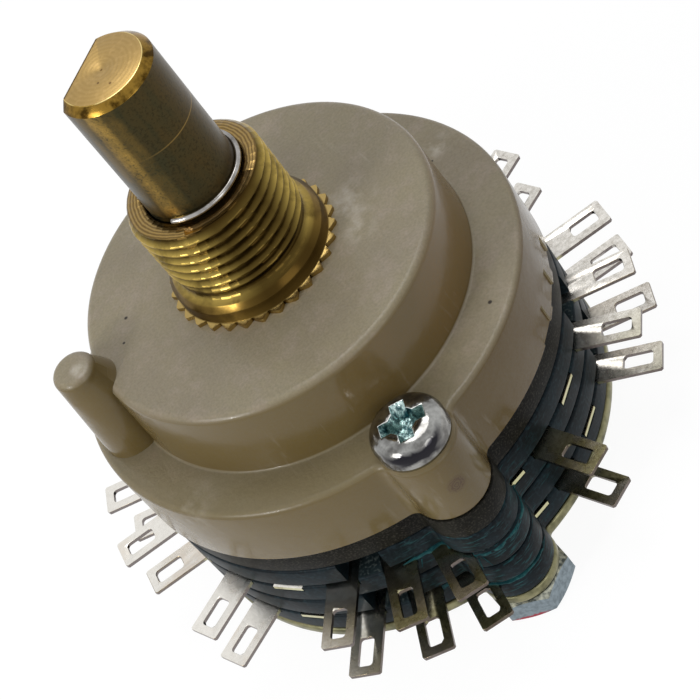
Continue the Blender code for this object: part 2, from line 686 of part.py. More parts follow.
def make_detent_springs():
    """Two bowed leaves, each with a bump in a valley of the index rotor."""
    stations = [SPRING_HALF_LENGTH * (index / SPRING_STEPS - 1.0) for index in range(2 * SPRING_STEPS + 1)]
    offset = SPRING_THICKNESS / 2.0
    inner_side = []
    outer_side = []
    for y in stations:
        step = SPRING_THICKNESS
        slope = (spring_line(y + step) - spring_line(y - step)) / (2.0 * step)
        across = Vector((1.0, -slope)).normalized() * offset
        inner_side.append((spring_line(y) - across.x, y - across.y))
        outer_side.append((spring_line(y) + across.x, y + across.y))
    mesh = flat_mesh("detent_spring", [inner_side + outer_side[::-1]], SPRING_HEIGHT)
    for name, angle in (("detent_spring_right", 0.0), ("detent_spring_left", 180.0)):
        spring = link_object(name, mesh, SPRING_STEEL)
        spring.location.z = (LOBE_BOTTOM + LOBE_TOP) / 2.0
        spring.rotation_euler.z = math.radians(angle)


def make_wafer(letter, bottom):
    """One wafer: two moulded halves, the contacts between them, and the rotor with its wipers."""
    seam = bottom + BACK_HALF_THICKNESS
    top = bottom + WAFER_THICKNESS
    outline = eared_outline(WAFER_RADIUS, EAR_RADIUS)
    spindle_hole = circle((0.0, 0.0), SPINDLE_RADIUS + FREE_GAP, MEDIUM_STEPS)
    hub_hole = circle((0.0, 0.0), ROTOR_HUB_RADIUS + RUNNING_GAP, MEDIUM_STEPS)
    front_loops = [outline, spindle_hole] + screw_hole_loops()
    back_loops = [outline, hub_hole] + screw_hole_loops()
    chamber_loop = circle((0.0, 0.0), WAFER_CAVITY_RADIUS, LARGE_STEPS)
    front_name = "wafer_%s_front" % letter
    front = flat_piece(front_name, front_loops, seam + SEAT_GAP, top, TEAL_MOULDING)
    back = flat_piece("wafer_%s_back" % letter, back_loops, bottom, seam, TEAL_MOULDING)
    chamber = flat_piece("chamber", [chamber_loop], seam - SEAT_GAP, top - WAFER_FLOOR)
    windows = []
    for section in range(SECTIONS):
        centre = COMMON_ANGLE + SECTION_ANGLE * section + WINDOW_OFFSET
        inner = arc((0.0, 0.0), WAFER_RADIUS - WINDOW_DEPTH, -WINDOW_HALF_ANGLE, WINDOW_HALF_ANGLE, 2)
        outer = arc((0.0, 0.0), WAFER_RADIUS + EAR_RADIUS, WINDOW_HALF_ANGLE, -WINDOW_HALF_ANGLE, 2)
        window = flat_piece("window", [inner + outer], seam - SEAT_GAP, top + SEAT_GAP)
        window.rotation_euler.z = math.radians(centre)
        windows.append(window)
    cut(front, [chamber] + windows)
    groove_floor = seam - GROOVE_DROP
    recess_loops = [
        circle((0.0, 0.0), STRIP_RECESS_OUTER, MEDIUM_STEPS),
        circle((0.0, 0.0), STRIP_RECESS_INNER, MEDIUM_STEPS),
    ]
    tools = [flat_piece("strip_recess", recess_loops, groove_floor, seam + SEAT_GAP)]
    grooves = [(angle, LUG_TIP_RADIUS) for angle in way_angles()]
    for section in range(SECTIONS):
        grooves += [(angle, WAFER_RADIUS + FREE_GAP) for angle in tail_angles(section)]
    groove_half = LUG_HALF_WIDTH + SEAT_GAP / 2.0
    for angle, end in grooves:
        low = (STRIP_RECESS_OUTER - FREE_GAP, -groove_half, groove_floor)
        high = (end, groove_half, seam + SEAT_GAP)
        tools.append(box_cutter("strip_groove", low, high, angle))
    cut(back, tools)
    strip_bottom = groove_floor + SEAT_GAP / 2.0
    make_way_contacts(letter, strip_bottom)
    make_common_contacts(letter, strip_bottom)
    make_rotor(letter, bottom, seam, top)


def lug_loop(root):
    """A lug that runs from a root radius out to its tip, with small cut corners."""
    return [
        (root, -LUG_HALF_WIDTH),
        (LUG_TIP_RADIUS - LUG_CORNER, -LUG_HALF_WIDTH),
        (LUG_TIP_RADIUS, -LUG_HALF_WIDTH + LUG_CORNER),
        (LUG_TIP_RADIUS, LUG_HALF_WIDTH - LUG_CORNER),
        (LUG_TIP_RADIUS - LUG_CORNER, LUG_HALF_WIDTH),
        (root, LUG_HALF_WIDTH),
    ]


def eye_loop():
    return [
        (EYE_INNER, -EYE_HALF_WIDTH),
        (EYE_OUTER, -EYE_HALF_WIDTH),
        (EYE_OUTER, EYE_HALF_WIDTH),
        (EYE_INNER, EYE_HALF_WIDTH),
    ]


def turned_loop(loop, angle):
    turn = rotated(angle)
    return [tuple((turn @ Vector((x, y, 0.0))).xy) for x, y in loop]


def make_way_contacts(letter, strip_bottom):
    mesh = flat_mesh("way_contact", [lug_loop(PAD_INNER_RADIUS), eye_loop()], STRIP_THICKNESS)
    for number, angle in enumerate(way_angles(), start=1):
        contact = link_object("way_contact_%s%02d" % (letter, number), mesh, TINNED_LUG)
        contact.location.z = strip_bottom + STRIP_THICKNESS / 2.0
        contact.rotation_euler.z = math.radians(angle)


def tail_loop(angle, middle):
    """One tail of a common contact: the middle one is a lug, the others end flush with the rim."""
    neck = math.degrees(math.asin(TAIL_NECK_HALF_WIDTH / COMMON_OUTER_RADIUS))
    foot = COMMON_OUTER_RADIUS * math.cos(math.radians(neck))
    if middle:
        outer = lug_loop(TAIL_SHOULDER_RADIUS)
    else:
        outer = [
            (TAIL_SHOULDER_RADIUS, -LUG_HALF_WIDTH),
            (WAFER_RADIUS, -LUG_HALF_WIDTH),
            (WAFER_RADIUS, LUG_HALF_WIDTH),
            (TAIL_SHOULDER_RADIUS, LUG_HALF_WIDTH),
        ]
    loop = [(foot, -TAIL_NECK_HALF_WIDTH)] + outer + [(foot, TAIL_NECK_HALF_WIDTH)]
    return turned_loop(loop, angle), angle - neck, angle + neck


def make_common_contacts(letter, strip_bottom):
    for section in range(SECTIONS):
        tails = tail_angles(section)
        arc_start = tails[1] + COMMON_ARC_START
        loop = []
        reached = arc_start
        for angle in tails:
            tail, before, after = tail_loop(angle, angle == tails[1])
            loop += arc((0.0, 0.0), COMMON_OUTER_RADIUS, reached, before, 4)[:-1] + tail
            reached = after
        arc_end = max(tails[1] + COMMON_ARC_END, reached + COMMON_END_ANGLE)
        loop.append(polar(COMMON_OUTER_RADIUS, arc_end))
        loop += arc((0.0, 0.0), COMMON_INNER_RADIUS, arc_end, arc_start, EAR_STEPS)
        name = "common_contact_%s%d" % (letter, section + 1)
        mesh = flat_mesh(name, [loop, turned_loop(eye_loop(), tails[1])], STRIP_THICKNESS)
        contact = link_object(name, mesh, TINNED_LUG)
        contact.location.z = strip_bottom + STRIP_THICKNESS / 2.0


def make_rotor(letter, bottom, seam, top):
    """A moulded disc on a hub, with a pocket for each wiper in its lower face."""
    disc_top = top - WAFER_FLOOR - ROTOR_TOP_CLEARANCE
    disc_bottom = disc_top - ROTOR_THICKNESS
    hub_bottom = bottom + ROTOR_END_CLEARANCE
    profile = [
        (0.0, disc_top),
        (ROTOR_RADIUS, disc_top),
        (ROTOR_RADIUS, disc_bottom),
        (ROTOR_HUB_RADIUS, disc_bottom),
        (ROTOR_HUB_RADIUS, hub_bottom),
        (0.0, hub_bottom),
    ]
    rotor = turned("rotor_" + letter, profile, MEDIUM_STEPS, WHITE_ACETAL)
    tools = [drive_hole("rotor_drive", hub_bottom - FREE_GAP, disc_top + FREE_GAP)]
    common_middle = (COMMON_INNER_RADIUS + COMMON_OUTER_RADIUS) / 2.0
    pad_middle = (PAD_INNER_RADIUS + STRIP_RECESS_OUTER) / 2.0
    wiper_radius = (common_middle + pad_middle) / 2.0
    pocket_length = WIPER_HALF_LENGTH + SEAT_GAP
    pocket_width = WIPER_HALF_WIDTH + SEAT_GAP
    section_middle = COMMON_ANGLE - STEP_ANGLE / 2.0
    for section in range(SECTIONS):
        low = (wiper_radius - pocket_length, -pocket_width, disc_bottom - FREE_GAP)
        high = (wiper_radius + pocket_length, pocket_width, disc_bottom + POCKET_DEPTH)
        angle = section_middle + SECTION_ANGLE * section
        tools.append(box_cutter("wiper_pocket", low, high, angle))
    cut(rotor, tools)
    crown = disc_bottom + POCKET_DEPTH - SEAT_GAP
    strip_top = seam - GROOVE_DROP + SEAT_GAP / 2.0 + STRIP_THICKNESS
    make_wipers(letter, wiper_radius, crown, strip_top + SEAT_GAP, section_middle)


def make_wipers(letter, radius, crown, foot, first_angle):
    """Sprung bridges, each pressing on a common contact and on one way contact."""
    upper = [
        (-WIPER_HALF_LENGTH, foot + WIPER_THICKNESS),
        (-WIPER_CROWN, crown),
        (WIPER_CROWN, crown),
        (WIPER_HALF_LENGTH, foot + WIPER_THICKNESS),
    ]
    lower = [(x, z - WIPER_THICKNESS) for x, z in upper]
    mesh = flat_mesh("wiper", [lower + upper[::-1]], 2.0 * WIPER_HALF_WIDTH)
    mesh.transform(Matrix.Translation((radius, 0.0, 0.0)) @ Matrix.Rotation(math.radians(90.0), 4, "X"))
    for section in range(SECTIONS):
        wiper = link_object("wiper_%s%d" % (letter, section + 1), mesh, PHOSPHOR_BRONZE)
        wiper.rotation_euler.z = math.radians(first_angle + SECTION_ANGLE * section)


make_shaft()
make_retaining_ring()
make_bush()
make_housing()
make_screws()
make_index_rotor()
make_stop_ring()
make_detent_springs()
make_plates()
make_wafer("a", WAFER_A_BOTTOM)
make_wafer("b", WAFER_B_BOTTOM)
make_nuts()
bpy.context.view_layer.update()
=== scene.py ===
from functools import partial
import json
import math

import bmesh
import bpy
from mathutils import Matrix, Vector, noise


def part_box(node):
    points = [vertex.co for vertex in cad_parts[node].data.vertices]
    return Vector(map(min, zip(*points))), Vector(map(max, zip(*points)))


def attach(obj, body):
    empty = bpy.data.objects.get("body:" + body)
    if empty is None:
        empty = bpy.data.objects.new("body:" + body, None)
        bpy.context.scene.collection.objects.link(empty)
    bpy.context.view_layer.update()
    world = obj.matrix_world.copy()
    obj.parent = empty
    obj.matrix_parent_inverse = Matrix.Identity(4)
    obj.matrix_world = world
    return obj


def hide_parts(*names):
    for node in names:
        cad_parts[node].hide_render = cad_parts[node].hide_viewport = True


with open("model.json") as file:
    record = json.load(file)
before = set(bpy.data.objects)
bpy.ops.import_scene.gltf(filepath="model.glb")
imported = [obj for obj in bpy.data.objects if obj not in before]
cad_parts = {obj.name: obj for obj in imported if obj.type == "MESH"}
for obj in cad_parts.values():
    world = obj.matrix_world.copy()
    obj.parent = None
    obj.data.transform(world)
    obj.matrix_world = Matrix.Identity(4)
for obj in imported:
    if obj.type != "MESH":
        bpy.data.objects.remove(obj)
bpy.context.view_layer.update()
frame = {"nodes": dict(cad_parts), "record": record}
mm = 0.001
touching = 1e-7  # metres; points closer than this count as one
print("frame loaded:", len(frame["nodes"]), "solids")


# small helpers

def hexColour(text):
    # sRGB hex to the linear values that shaders take
    parts = [int(text[start:start + 2], 16) / 255 for start in (1, 3, 5)]
    linear = [part / 12.92 if part <= 0.04045 else ((part + 0.055) / 1.055) ** 2.4 for part in parts]
    return (*linear, 1.0)


def fill(node, values):
    # other nodes and sockets are linked in, "#" colours are converted, the rest is set
    for key, value in values.items():
        if isinstance(value, bpy.types.Node):
            value = next(output for output in value.outputs if output.enabled)
        if isinstance(value, str) and value.startswith("#"):
            value = hexColour(value)
        if isinstance(value, bpy.types.NodeSocket):
            node.id_data.links.new(value, node.inputs[key])
        elif isinstance(key, int) or key in node.inputs:
            node.inputs[key].default_value = value
        else:
            setattr(node, key, value)
    return node


def addNode(tree, kind, values={}):
    # the kind may carry an operation; every Mix here mixes colours
    kind, *operation = kind.split()
    node = tree.nodes.new("ShaderNode" + kind)
    if operation:
        node.operation = operation[0]
    if kind == "Mix":
        node.data_type = "RGBA"
    return fill(node, values)


def startMaterial(name, metallic, roughness):
    material = bpy.data.materials.new(name)
    material.use_nodes = True
    add = partial(addNode, material.node_tree)
    shader = fill(material.node_tree.nodes["Principled BSDF"], {"Metallic": metallic, "Roughness": roughness})
    return material, add, shader, add("TexCoord").outputs["Object"]


def cells(size):
    # the scale that gives a noise this size in mm
    return 1.0 / (size * mm)


def heading(angle):
    # the level direction this many degrees from +X
    turn = math.radians(angle)
    return (math.cos(turn), math.sin(turn), 0.0)


def arcPoints(centre, radius, start, end, steps):
    # points on an arc in degrees, both ends included
    points = []
    for step in range(steps + 1):
        angle = math.radians(start + (end - start) * step / steps)
        points.append((centre[0] + radius * math.cos(angle), centre[1] + radius * math.sin(angle)))
    return points


def turnedShape(profile, steps):
    # a (radius, height) profile spun about the shaft's axis
    shape = bmesh.new()
    verts = [shape.verts.new((radius, 0.0, height)) for radius, height in profile]
    edges = [shape.edges.new(pair) for pair in zip(verts, verts[1:])]
    if profile[0][0] > 0.0:
        edges.append(shape.edges.new((verts[-1], verts[0])))
    bmesh.ops.spin(shape, geom=verts + edges, cent=(0, 0, 0), axis=(0, 0, 1), angle=math.tau, steps=steps,
                   use_merge=True)
    bmesh.ops.remove_doubles(shape, verts=shape.verts, dist=touching)
    bmesh.ops.recalc_face_normals(shape, faces=shape.faces)
    return shape


def bevelEdges(shape, edges, width, segments, surface=-1):
    bmesh.ops.bevel(shape, geom=edges, offset=width, offset_type="OFFSET", segments=segments, profile=0.5,
                    affect="EDGES", clamp_overlap=True, material=surface)


def outlineShape(loop, bottom, top, topRounding=0.0, bottomRounding=0.0, segments=4):
    # a flat outline raised between two heights, with rounded rims
    shape = bmesh.new()
    verts = [shape.verts.new((x, y, bottom)) for x, y in loop]
    face = shape.faces.new(verts)
    raised = bmesh.ops.extrude_face_region(shape, geom=[face])["geom"]
    lifted = [part for part in raised if isinstance(part, bmesh.types.BMVert)]
    bmesh.ops.translate(shape, vec=(0, 0, top - bottom), verts=lifted)
    bmesh.ops.recalc_face_normals(shape, faces=shape.faces)
    for height, rounding in ((top, topRounding), (bottom, bottomRounding)):
        if rounding > 0.0:
            rim = [edge for edge in shape.edges
                   if all(abs(vert.co.z - height) < touching for vert in edge.verts)]
            bevelEdges(shape, rim, rounding, segments)
    return shape


def swung(shape, angle):
    turn = Matrix.Rotation(math.radians(angle), 3, "Z")
    bmesh.ops.rotate(shape, cent=(0, 0, 0), matrix=turn, verts=shape.verts)
    return shape


def boxShape(low, high, angle=0.0):
    shape = bmesh.new()
    bmesh.ops.create_cube(shape, size=1.0)
    size = [high[axis] - low[axis] for axis in range(3)]
    middle = [(high[axis] + low[axis]) / 2 for axis in range(3)]
    grown = Matrix.Translation(middle) @ Matrix.Diagonal((*size, 1.0))
    bmesh.ops.transform(shape, matrix=grown, verts=shape.verts)
    return swung(shape, angle)


def moved(shape, offset):
    bmesh.ops.translate(shape, vec=offset, verts=shape.verts)
    return shape


def roundHole(radius, x, y, low, high, steps=32):
    # a cutter that passes 1 mm beyond both heights
    profile = [(0.0, high + mm), (radius, high + mm), (radius, low - mm), (0.0, low - mm)]
    return moved(turnedShape(profile, steps), (x, y, 0))


def newObject(name, data):
    thing = bpy.data.objects.new(name, data)
    bpy.context.scene.collection.objects.link(thing)
    return thing


def newMesh(name, shape):
    mesh = bpy.data.meshes.new(name)
    shape.to_mesh(mesh)
    shape.free()
    return mesh


def looseObject(shape, surface=0):
    for face in shape.faces:
        face.material_index = max(face.material_index, surface)
    thing = newObject("work", newMesh("work", shape))
    for _ in range(surface + 1):
        thing.data.materials.append(None)
    return thing


def combine(shape, tools, operation, surface=0):
    # exact Booleans in turn; the faces that a tool leaves take the given material number
    base = looseObject(shape)
    for _ in range(surface):
        base.data.materials.append(None)
    helpers = [looseObject(tool, surface) for tool in tools]
    for helper in helpers:
        step = base.modifiers.new("step", "BOOLEAN")
        step.operation = operation
        step.object = helper
        step.solver = "EXACT"
    done = base.evaluated_get(bpy.context.evaluated_depsgraph_get()).to_mesh()
    result = bmesh.new()
    result.from_mesh(done)
    for thing in [base] + helpers:
        bpy.data.objects.remove(thing, do_unlink=True)
    return result


def makePiece(name, shape, body, materials, nodes=(), sharp=35.0):
    bmesh.ops.remove_doubles(shape, verts=shape.verts, dist=2 * touching)
    mesh = newMesh(name, shape)
    for material in materials:
        mesh.materials.append(material)
    mesh.shade_smooth()
    mesh.set_sharp_from_angle(angle=math.radians(sharp))
    piece = newObject(name, mesh)
    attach(piece, body)
    if nodes:
        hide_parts(*nodes)
    return piece


def softenSharp(shape, width, segments, sharp=30.0, chosen=lambda edge: True, surface=-1):
    limit = math.radians(sharp)
    edges = [edge for edge in shape.edges
             if len(edge.link_faces) == 2 and edge.calc_face_angle(0.0) > limit and chosen(edge)]
    bevelEdges(shape, edges, width, segments, surface)


# heights and places that the frame gives
mounts = {mount["name"]: mount["pos_m"] for mount in frame["record"]["mounts"]}
panelZ = mounts["panel_face"][2]
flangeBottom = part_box("housing")[0].z
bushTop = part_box("bush")[1].z - 0.25 * mm  # the photo shows its nose a little shorter than the solid
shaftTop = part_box("shaft")[1].z
screwY = sum(corner.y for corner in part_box("screw_rear")) / 2


# camera, floor and light

view = {
    "azimuth": -2.18, "elevation": 44.82, "roll": -39.18,  # degrees
    "target": (1.122 * mm, -0.043 * mm, 11.339 * mm), "distance": 151.71 * mm,
    "lens": 119.54, "shiftX": -0.00423, "shiftY": -0.00397,
}


def makeCamera():
    camera = newObject("camera", bpy.data.cameras.new("camera"))
    turn = Matrix.Identity(4)
    for angle, axis in ((view["azimuth"], "Z"), (90.0 - view["elevation"], "X"), (view["roll"], "Z")):
        turn = turn @ Matrix.Rotation(math.radians(angle), 4, axis)
    back = Matrix.Translation((0, 0, view["distance"]))
    camera.matrix_world = Matrix.Translation(view["target"]) @ turn @ back
    camera.data.lens = view["lens"]
    camera.data.sensor_width = 36.0
    camera.data.shift_x = view["shiftX"]
    camera.data.shift_y = view["shiftY"]
    camera.data.clip_start = 10 * mm
    camera.data.clip_end = 10.0
    bpy.context.scene.camera = camera


studio = {
    "floorSize": 3.0, "floorZ": -0.02 * mm, "floorColour": "#d9d9d6", "floorGlow": 0.93,
    "skyColour": "#f4f6f8", "skyLight": 0.42,
    # name: (from where in mm, size in mm, watts)
    "lamps": {
        "key": ((-210, -60, 150), 110, 0.15),
        "glint": ((-208, -97, 122), 24, 0.13),
        "top": ((40, 60, 260), 160, 0.20),
        "front": ((60, -220, 130), 120, 0.07),
    },
}


def seenShare(add):
    # 1 where the camera or a reflection looks, 0 for the light that falls on the part
    path = add("LightPath")
    seen = add("Math MAXIMUM", {0: path.outputs["Is Camera Ray"], 1: path.outputs["Is Glossy Ray"]})
    return add("Math MAXIMUM", {0: seen, 1: path.outputs["Is Transmission Ray"]})


def makeStudio():
    scene = bpy.context.scene
    scene.view_settings.view_transform = "Standard"
    world = bpy.data.worlds.new("studio")
    scene.world = world
    world.use_nodes = True
    add = partial(addNode, world.node_tree)
    strength = add("MapRange", {"Value": seenShare(add), "To Min": studio["skyLight"], "To Max": 1.0})
    fill(world.node_tree.nodes["Background"], {"Color": studio["skyColour"], "Strength": strength})

    # the floor glows for the camera and for reflections, so it is white and keeps a faint shadow
    paper = bpy.data.materials.new("pale paper")
    paper.use_nodes = True
    paper.node_tree.nodes.clear()
    add = partial(addNode, paper.node_tree)
    glow = add("Emission", {"Strength": studio["floorGlow"]})
    matt = add("BsdfDiffuse", {"Color": studio["floorColour"]})
    thin = add("BsdfDiffuse", {"Color": (0.1, 0.1, 0.1, 1.0)})
    lit = add("AddShader", {0: glow, 1: thin})
    both = add("MixShader", {0: seenShare(add), 1: matt, 2: lit})
    add("OutputMaterial", {"Surface": both})
    shape = bmesh.new()
    bmesh.ops.create_grid(shape, x_segments=1, y_segments=1, size=studio["floorSize"])
    floor = newObject("floor", newMesh("floor", shape))
    floor.data.materials.append(paper)
    floor.location.z = studio["floorZ"]

    aim = Vector((0.0, 0.0, 15 * mm))
    for name, (place, size, watts) in studio["lamps"].items():
        lamp = bpy.data.lights.new(name, "AREA")
        lamp.shape = "DISK"
        lamp.size = size * mm
        lamp.energy = watts
        thing = newObject(name, lamp)
        thing.location = Vector(place) * mm
        thing.rotation_euler = (aim - thing.location).to_track_quat("-Z", "Y").to_euler()


makeCamera()
makeStudio()
print("camera, floor and lamps placed")


# materials

def spotMask(add, place, centre, inner, outer):
    # 1 within the inner radius round a point on the part, 0 beyond the outer one, all in mm
    away = add("VectorMath DISTANCE", {0: place, 1: [value * mm for value in centre]})
    return add("MapRange", {"Value": away, "From Min": outer * mm, "From Max": inner * mm})


def overlay(add, under, over, value, low, high, most=1.0):
    # lays one colour over another as the value runs from low to high
    share = add("MapRange", {"Value": value, "From Min": low, "From Max": high, "To Max": most})
    return add("Mix", {0: share, 6: under, 7: over})


def drawnNoise(add, place, sizes, values, rotation=(0.0, 0.0, 0.0)):
    # noise with a size in mm of its own along each axis
    drawn = add("Mapping", {"Rotation": rotation, "Scale": [cells(size) for size in sizes], "Vector": place})
    return add("TexNoise", {"Scale": 1.0, **values, "Vector": drawn})


def facingUp(add, low, high):
    # 1 where the normal's rise is over high, 0 where it is under low
    rise = add("SeparateXYZ", {0: add("NewGeometry").outputs["Normal"]}).outputs["Z"]
    return add("MapRange", {"Value": rise, "From Min": low, "From Max": high})


def toolRings(add, distance, unevenness, sway, spacing):
    # a wave across rings this many mm apart, that sway by this much
    swaying = add("Math MULTIPLY_ADD", {0: unevenness, 1: sway * mm, 2: distance})
    wave = add("Math MULTIPLY", {0: swaying, 1: math.tau / (spacing * mm)})
    return add("Math SINE", {0: wave})


def dress(add, shader, colour, patch, least, most, relief, strength, depth):
    # a dullness between least and most that follows the patches, and a relief of this many mm
    dull = add("MapRange", {"Value": patch, "To Min": least, "To Max": most})
    bump = add("Bump", {"Strength": strength, "Distance": depth * mm, "Height": relief})
    fill(shader, {"Base Color": colour, "Roughness": dull, "Normal": bump})


nylon = {
    # brown is a painted shadow on the flange's top beside the peg
    "top": "#948a72", "veil": "#867c6c", "rose": "#9e9181", "brown": "#75694a", "speck": "#2b2117",
    # wall, warm and drumWarm are painted shade and painted light on the walls rather than the nylon's own
    # colour
    "pale": "#c9c2b4", "wall": "#6b5a34", "warm": "#624c24", "drumWarm": "#7d633c",
    # dark specks burnt in at moulding: place in mm, radius
    "specks": [((-8.62, 3.24, 23.1), 0.15), ((-9.68, 1.56, 23.1), 0.12), ((8.81, -11.04, 17.6), 0.17),
               ((12.66, 1.8, 17.6), 0.12), ((-0.64, -12.15, 18.0), 0.24)],
    # pale rubbed patches, one of them on the lower-left flange rim partly a painted highlight: place, radius,
    # strength
    "rubsAndHighlights": [((6.4, -2.2, 23.1), 2.2, 0.5), ((5.8, -4.6, 23.1), 1.3, 0.5), ((-12.75, 0.3, 25.0), 0.75, 0.8),
             ((13.6, 2.6, 17.6), 1.5, 0.6), ((-12.9, -7.6, 17.4), 2.2, 0.25), ((-3.5, 9.5, 23.1), 3.0, 0.25)],
    "gate": (0.1, -18.0, 15.0),
}


def mouldedNylon():
    # nylon, injection moulded: cloudy, satin on top, glossy on the walls; the walls take darker, browner
    # colours than the tops as painted shade
    material, add, shader, place = startMaterial("moulded nylon", 0.0, 0.33)
    cloud = add("TexNoise", {"Scale": cells(6.5), "Detail": 5.0, "Roughness": 0.55, "Vector": place})
    mottle = add("TexNoise", {"Scale": cells(1.5), "Detail": 4.0, "Roughness": 0.6, "Vector": place})
    upward = facingUp(add, 0.25, 0.92)
    x, _, z = add("SeparateXYZ", {0: place}).outputs
    # painted shade and light on the walls: they run from olive to a warmer brown towards +X, with a lighter
    # brown on the drum's wall as painted light, and the flange's wall is the browner
    east = add("Math MULTIPLY_ADD", {0: x, 1: 0.035 / mm, 2: cloud})
    lowShare = add("MapRange", {"Value": z, "From Min": 17.9 * mm, "From Max": 17.75 * mm})
    warmer = add("Mix", {0: lowShare, 6: nylon["drumWarm"], 7: nylon["warm"]})
    wall = overlay(add, nylon["wall"], warmer, east, 0.35, 0.95)
    # tops are clouded grey with rosy patches
    veiled = overlay(add, nylon["top"], nylon["veil"], cloud, 0.4, 0.65, 0.55)
    rosy = overlay(add, veiled, nylon["rose"], mottle, 0.48, 0.7, 0.7)
    # painted shadow: the flange's top is browner on the side of the peg, in the shade of the drum and peg
    side = add("VectorMath DOT_PRODUCT", {0: place, 1: (-0.62, -0.78, 0.0)})
    sideShare = add("MapRange", {"Value": side, "From Min": 4 * mm, "From Max": 14 * mm, "To Max": 0.9})
    pegShadowShare = add("Math MULTIPLY", {0: sideShare, 1: lowShare})
    pegShadowTop = add("Mix", {0: pegShadowShare, 6: rosy, 7: nylon["brown"]})
    # the walls take the painted shade colours by the way they face
    colour = add("Mix", {0: upward, 6: wall, 7: pegShadowTop})
    # fine grain of the tool in the top faces
    grain = add("TexNoise", {"Scale": cells(0.17), "Detail": 2.0, "Vector": place})
    colour = overlay(add, colour, "#6b6046", grain, 0.35, 0.7, 0.3)
    # pale scuffs, long one way, in a few patches, and rubbed places, the one on the flange rim partly a painted
    # highlight
    hair = drawnNoise(add, place, (0.4, 5.0, 2.5), {"Detail": 3.0}, (0.0, 0.0, 0.9))
    patch = add("TexNoise", {"Scale": cells(9.0), "Vector": place})
    thinHair = add("MapRange", {"Value": hair, "From Min": 0.6, "From Max": 0.75})
    where = add("MapRange", {"Value": patch, "From Min": 0.53, "From Max": 0.66, "To Max": 0.14})
    pale = add("Math MULTIPLY", {0: thinHair, 1: where})
    broken = add("MapRange", {"Value": mottle, "From Min": 0.42, "From Max": 0.68})
    for centre, radius, strength in nylon["rubsAndHighlights"]:
        spot = spotMask(add, place, centre, radius * 0.2, radius)
        uneven = add("Math MULTIPLY", {0: spot, 1: broken})
        pale = add("Math MULTIPLY_ADD", {0: uneven, 1: strength, 2: pale})
    palest = add("Math MINIMUM", {0: pale, 1: 0.7})
    colour = add("Mix", {0: palest, 6: colour, 7: nylon["pale"]})
    # mark of the gate on the front boss: a swirl of brown rings
    whorl = add("VectorMath DISTANCE", {0: place, 1: [v * mm for v in nylon["gate"]]})
    turnNoise = add("TexNoise", {"Scale": cells(0.35), "Detail": 3.0, "Vector": place})
    rings = toolRings(add, whorl, turnNoise, 0.8, 0.22)
    ringShare = add("MapRange", {"Value": rings, "From Min": -0.6, "From Max": 0.6,
                                 "To Min": 0.3, "To Max": 0.75})
    gateShare = add("Math MULTIPLY", {0: ringShare, 1: spotMask(add, place, nylon["gate"], 0.45, 0.75)})
    colour = add("Mix", {0: gateShare, 6: colour, 7: "#4a3120"})
    for centre, radius in nylon["specks"]:
        spot = spotMask(add, place, centre, radius * 0.6, radius)
        colour = add("Mix", {0: spot, 6: colour, 7: nylon["speck"]})
    gloss = add("MapRange", {"Value": upward, "To Min": 0.17, "To Max": 0.3})
    uneven = add("Math MULTIPLY_ADD", {0: cloud, 1: 0.14, 2: gloss})
    height = add("Math MULTIPLY", {0: grain, 1: upward})
    fine = add("Bump", {"Strength": 0.9, "Distance": 0.02 * mm, "Height": height})
    waves = add("TexNoise", {"Scale": cells(1.1), "Detail": 3.0, "Vector": place})
    bump = add("Bump", {"Strength": 0.7, "Distance": 0.05 * mm, "Height": waves, "Normal": fine})
    # the skin off a polished tool keeps a thin gloss over the haze
    fill(shader, {"Base Color": colour, "Roughness": uneven, "Normal": bump, "Subsurface Weight": 0.15,
                  "Subsurface Radius": (1.0, 0.75, 0.4), "Subsurface Scale": 0.6 * mm, "IOR": 1.53,
                  "Specular IOR Level": 0.24, "Coat Weight": 0.14, "Coat Roughness": 0.07})
    return material


def latheSheen(add, shader, place, amount):
    # turning marks run round the axis, so the sheen stretches across them
    x, y, z = add("SeparateXYZ", {0: place}).outputs
    minusY = add("Math MULTIPLY", {0: y, 1: -1.0})
    around = add("CombineXYZ", {"X": minusY, "Y": x})
    turned = add("VectorTransform", {"vector_type": "VECTOR", "convert_from": "OBJECT",
                                     "convert_to": "WORLD", 0: around})
    flat = add("CombineXYZ", {"X": x, "Y": y})
    radius = add("VectorMath LENGTH", {0: flat})
    fill(shader, {"Tangent": turned, "Anisotropic": amount, "Anisotropic Rotation": 0.25})
    return (x, y, z), flat, radius


bush = {
    "bore": 3.275 * mm, "thread": 4.76 * mm, "pitch": 25.4 / 32 * mm, "depth": 0.43 * mm, "chamfer": 0.36 * mm,
    "threadStart": 1.95 * mm, "neck": 4.5 * mm, "lip": 4.98 * mm, "lipHeight": 1.6 * mm,
    "collar": 5.34 * mm, "collarHeight": 1.15 * mm, "tooth": 5.85 * mm, "toothHeight": 0.3 * mm,
    "teeth": 30, "toothLean": 0.62, "shank": 4.3 * mm, "steps": 180, "rowsPerTurn": 14, "flats": 44,
    # the side on which a dark reflection is painted, in degrees from +X
    "darkReflectionAngle": -80.0,
}


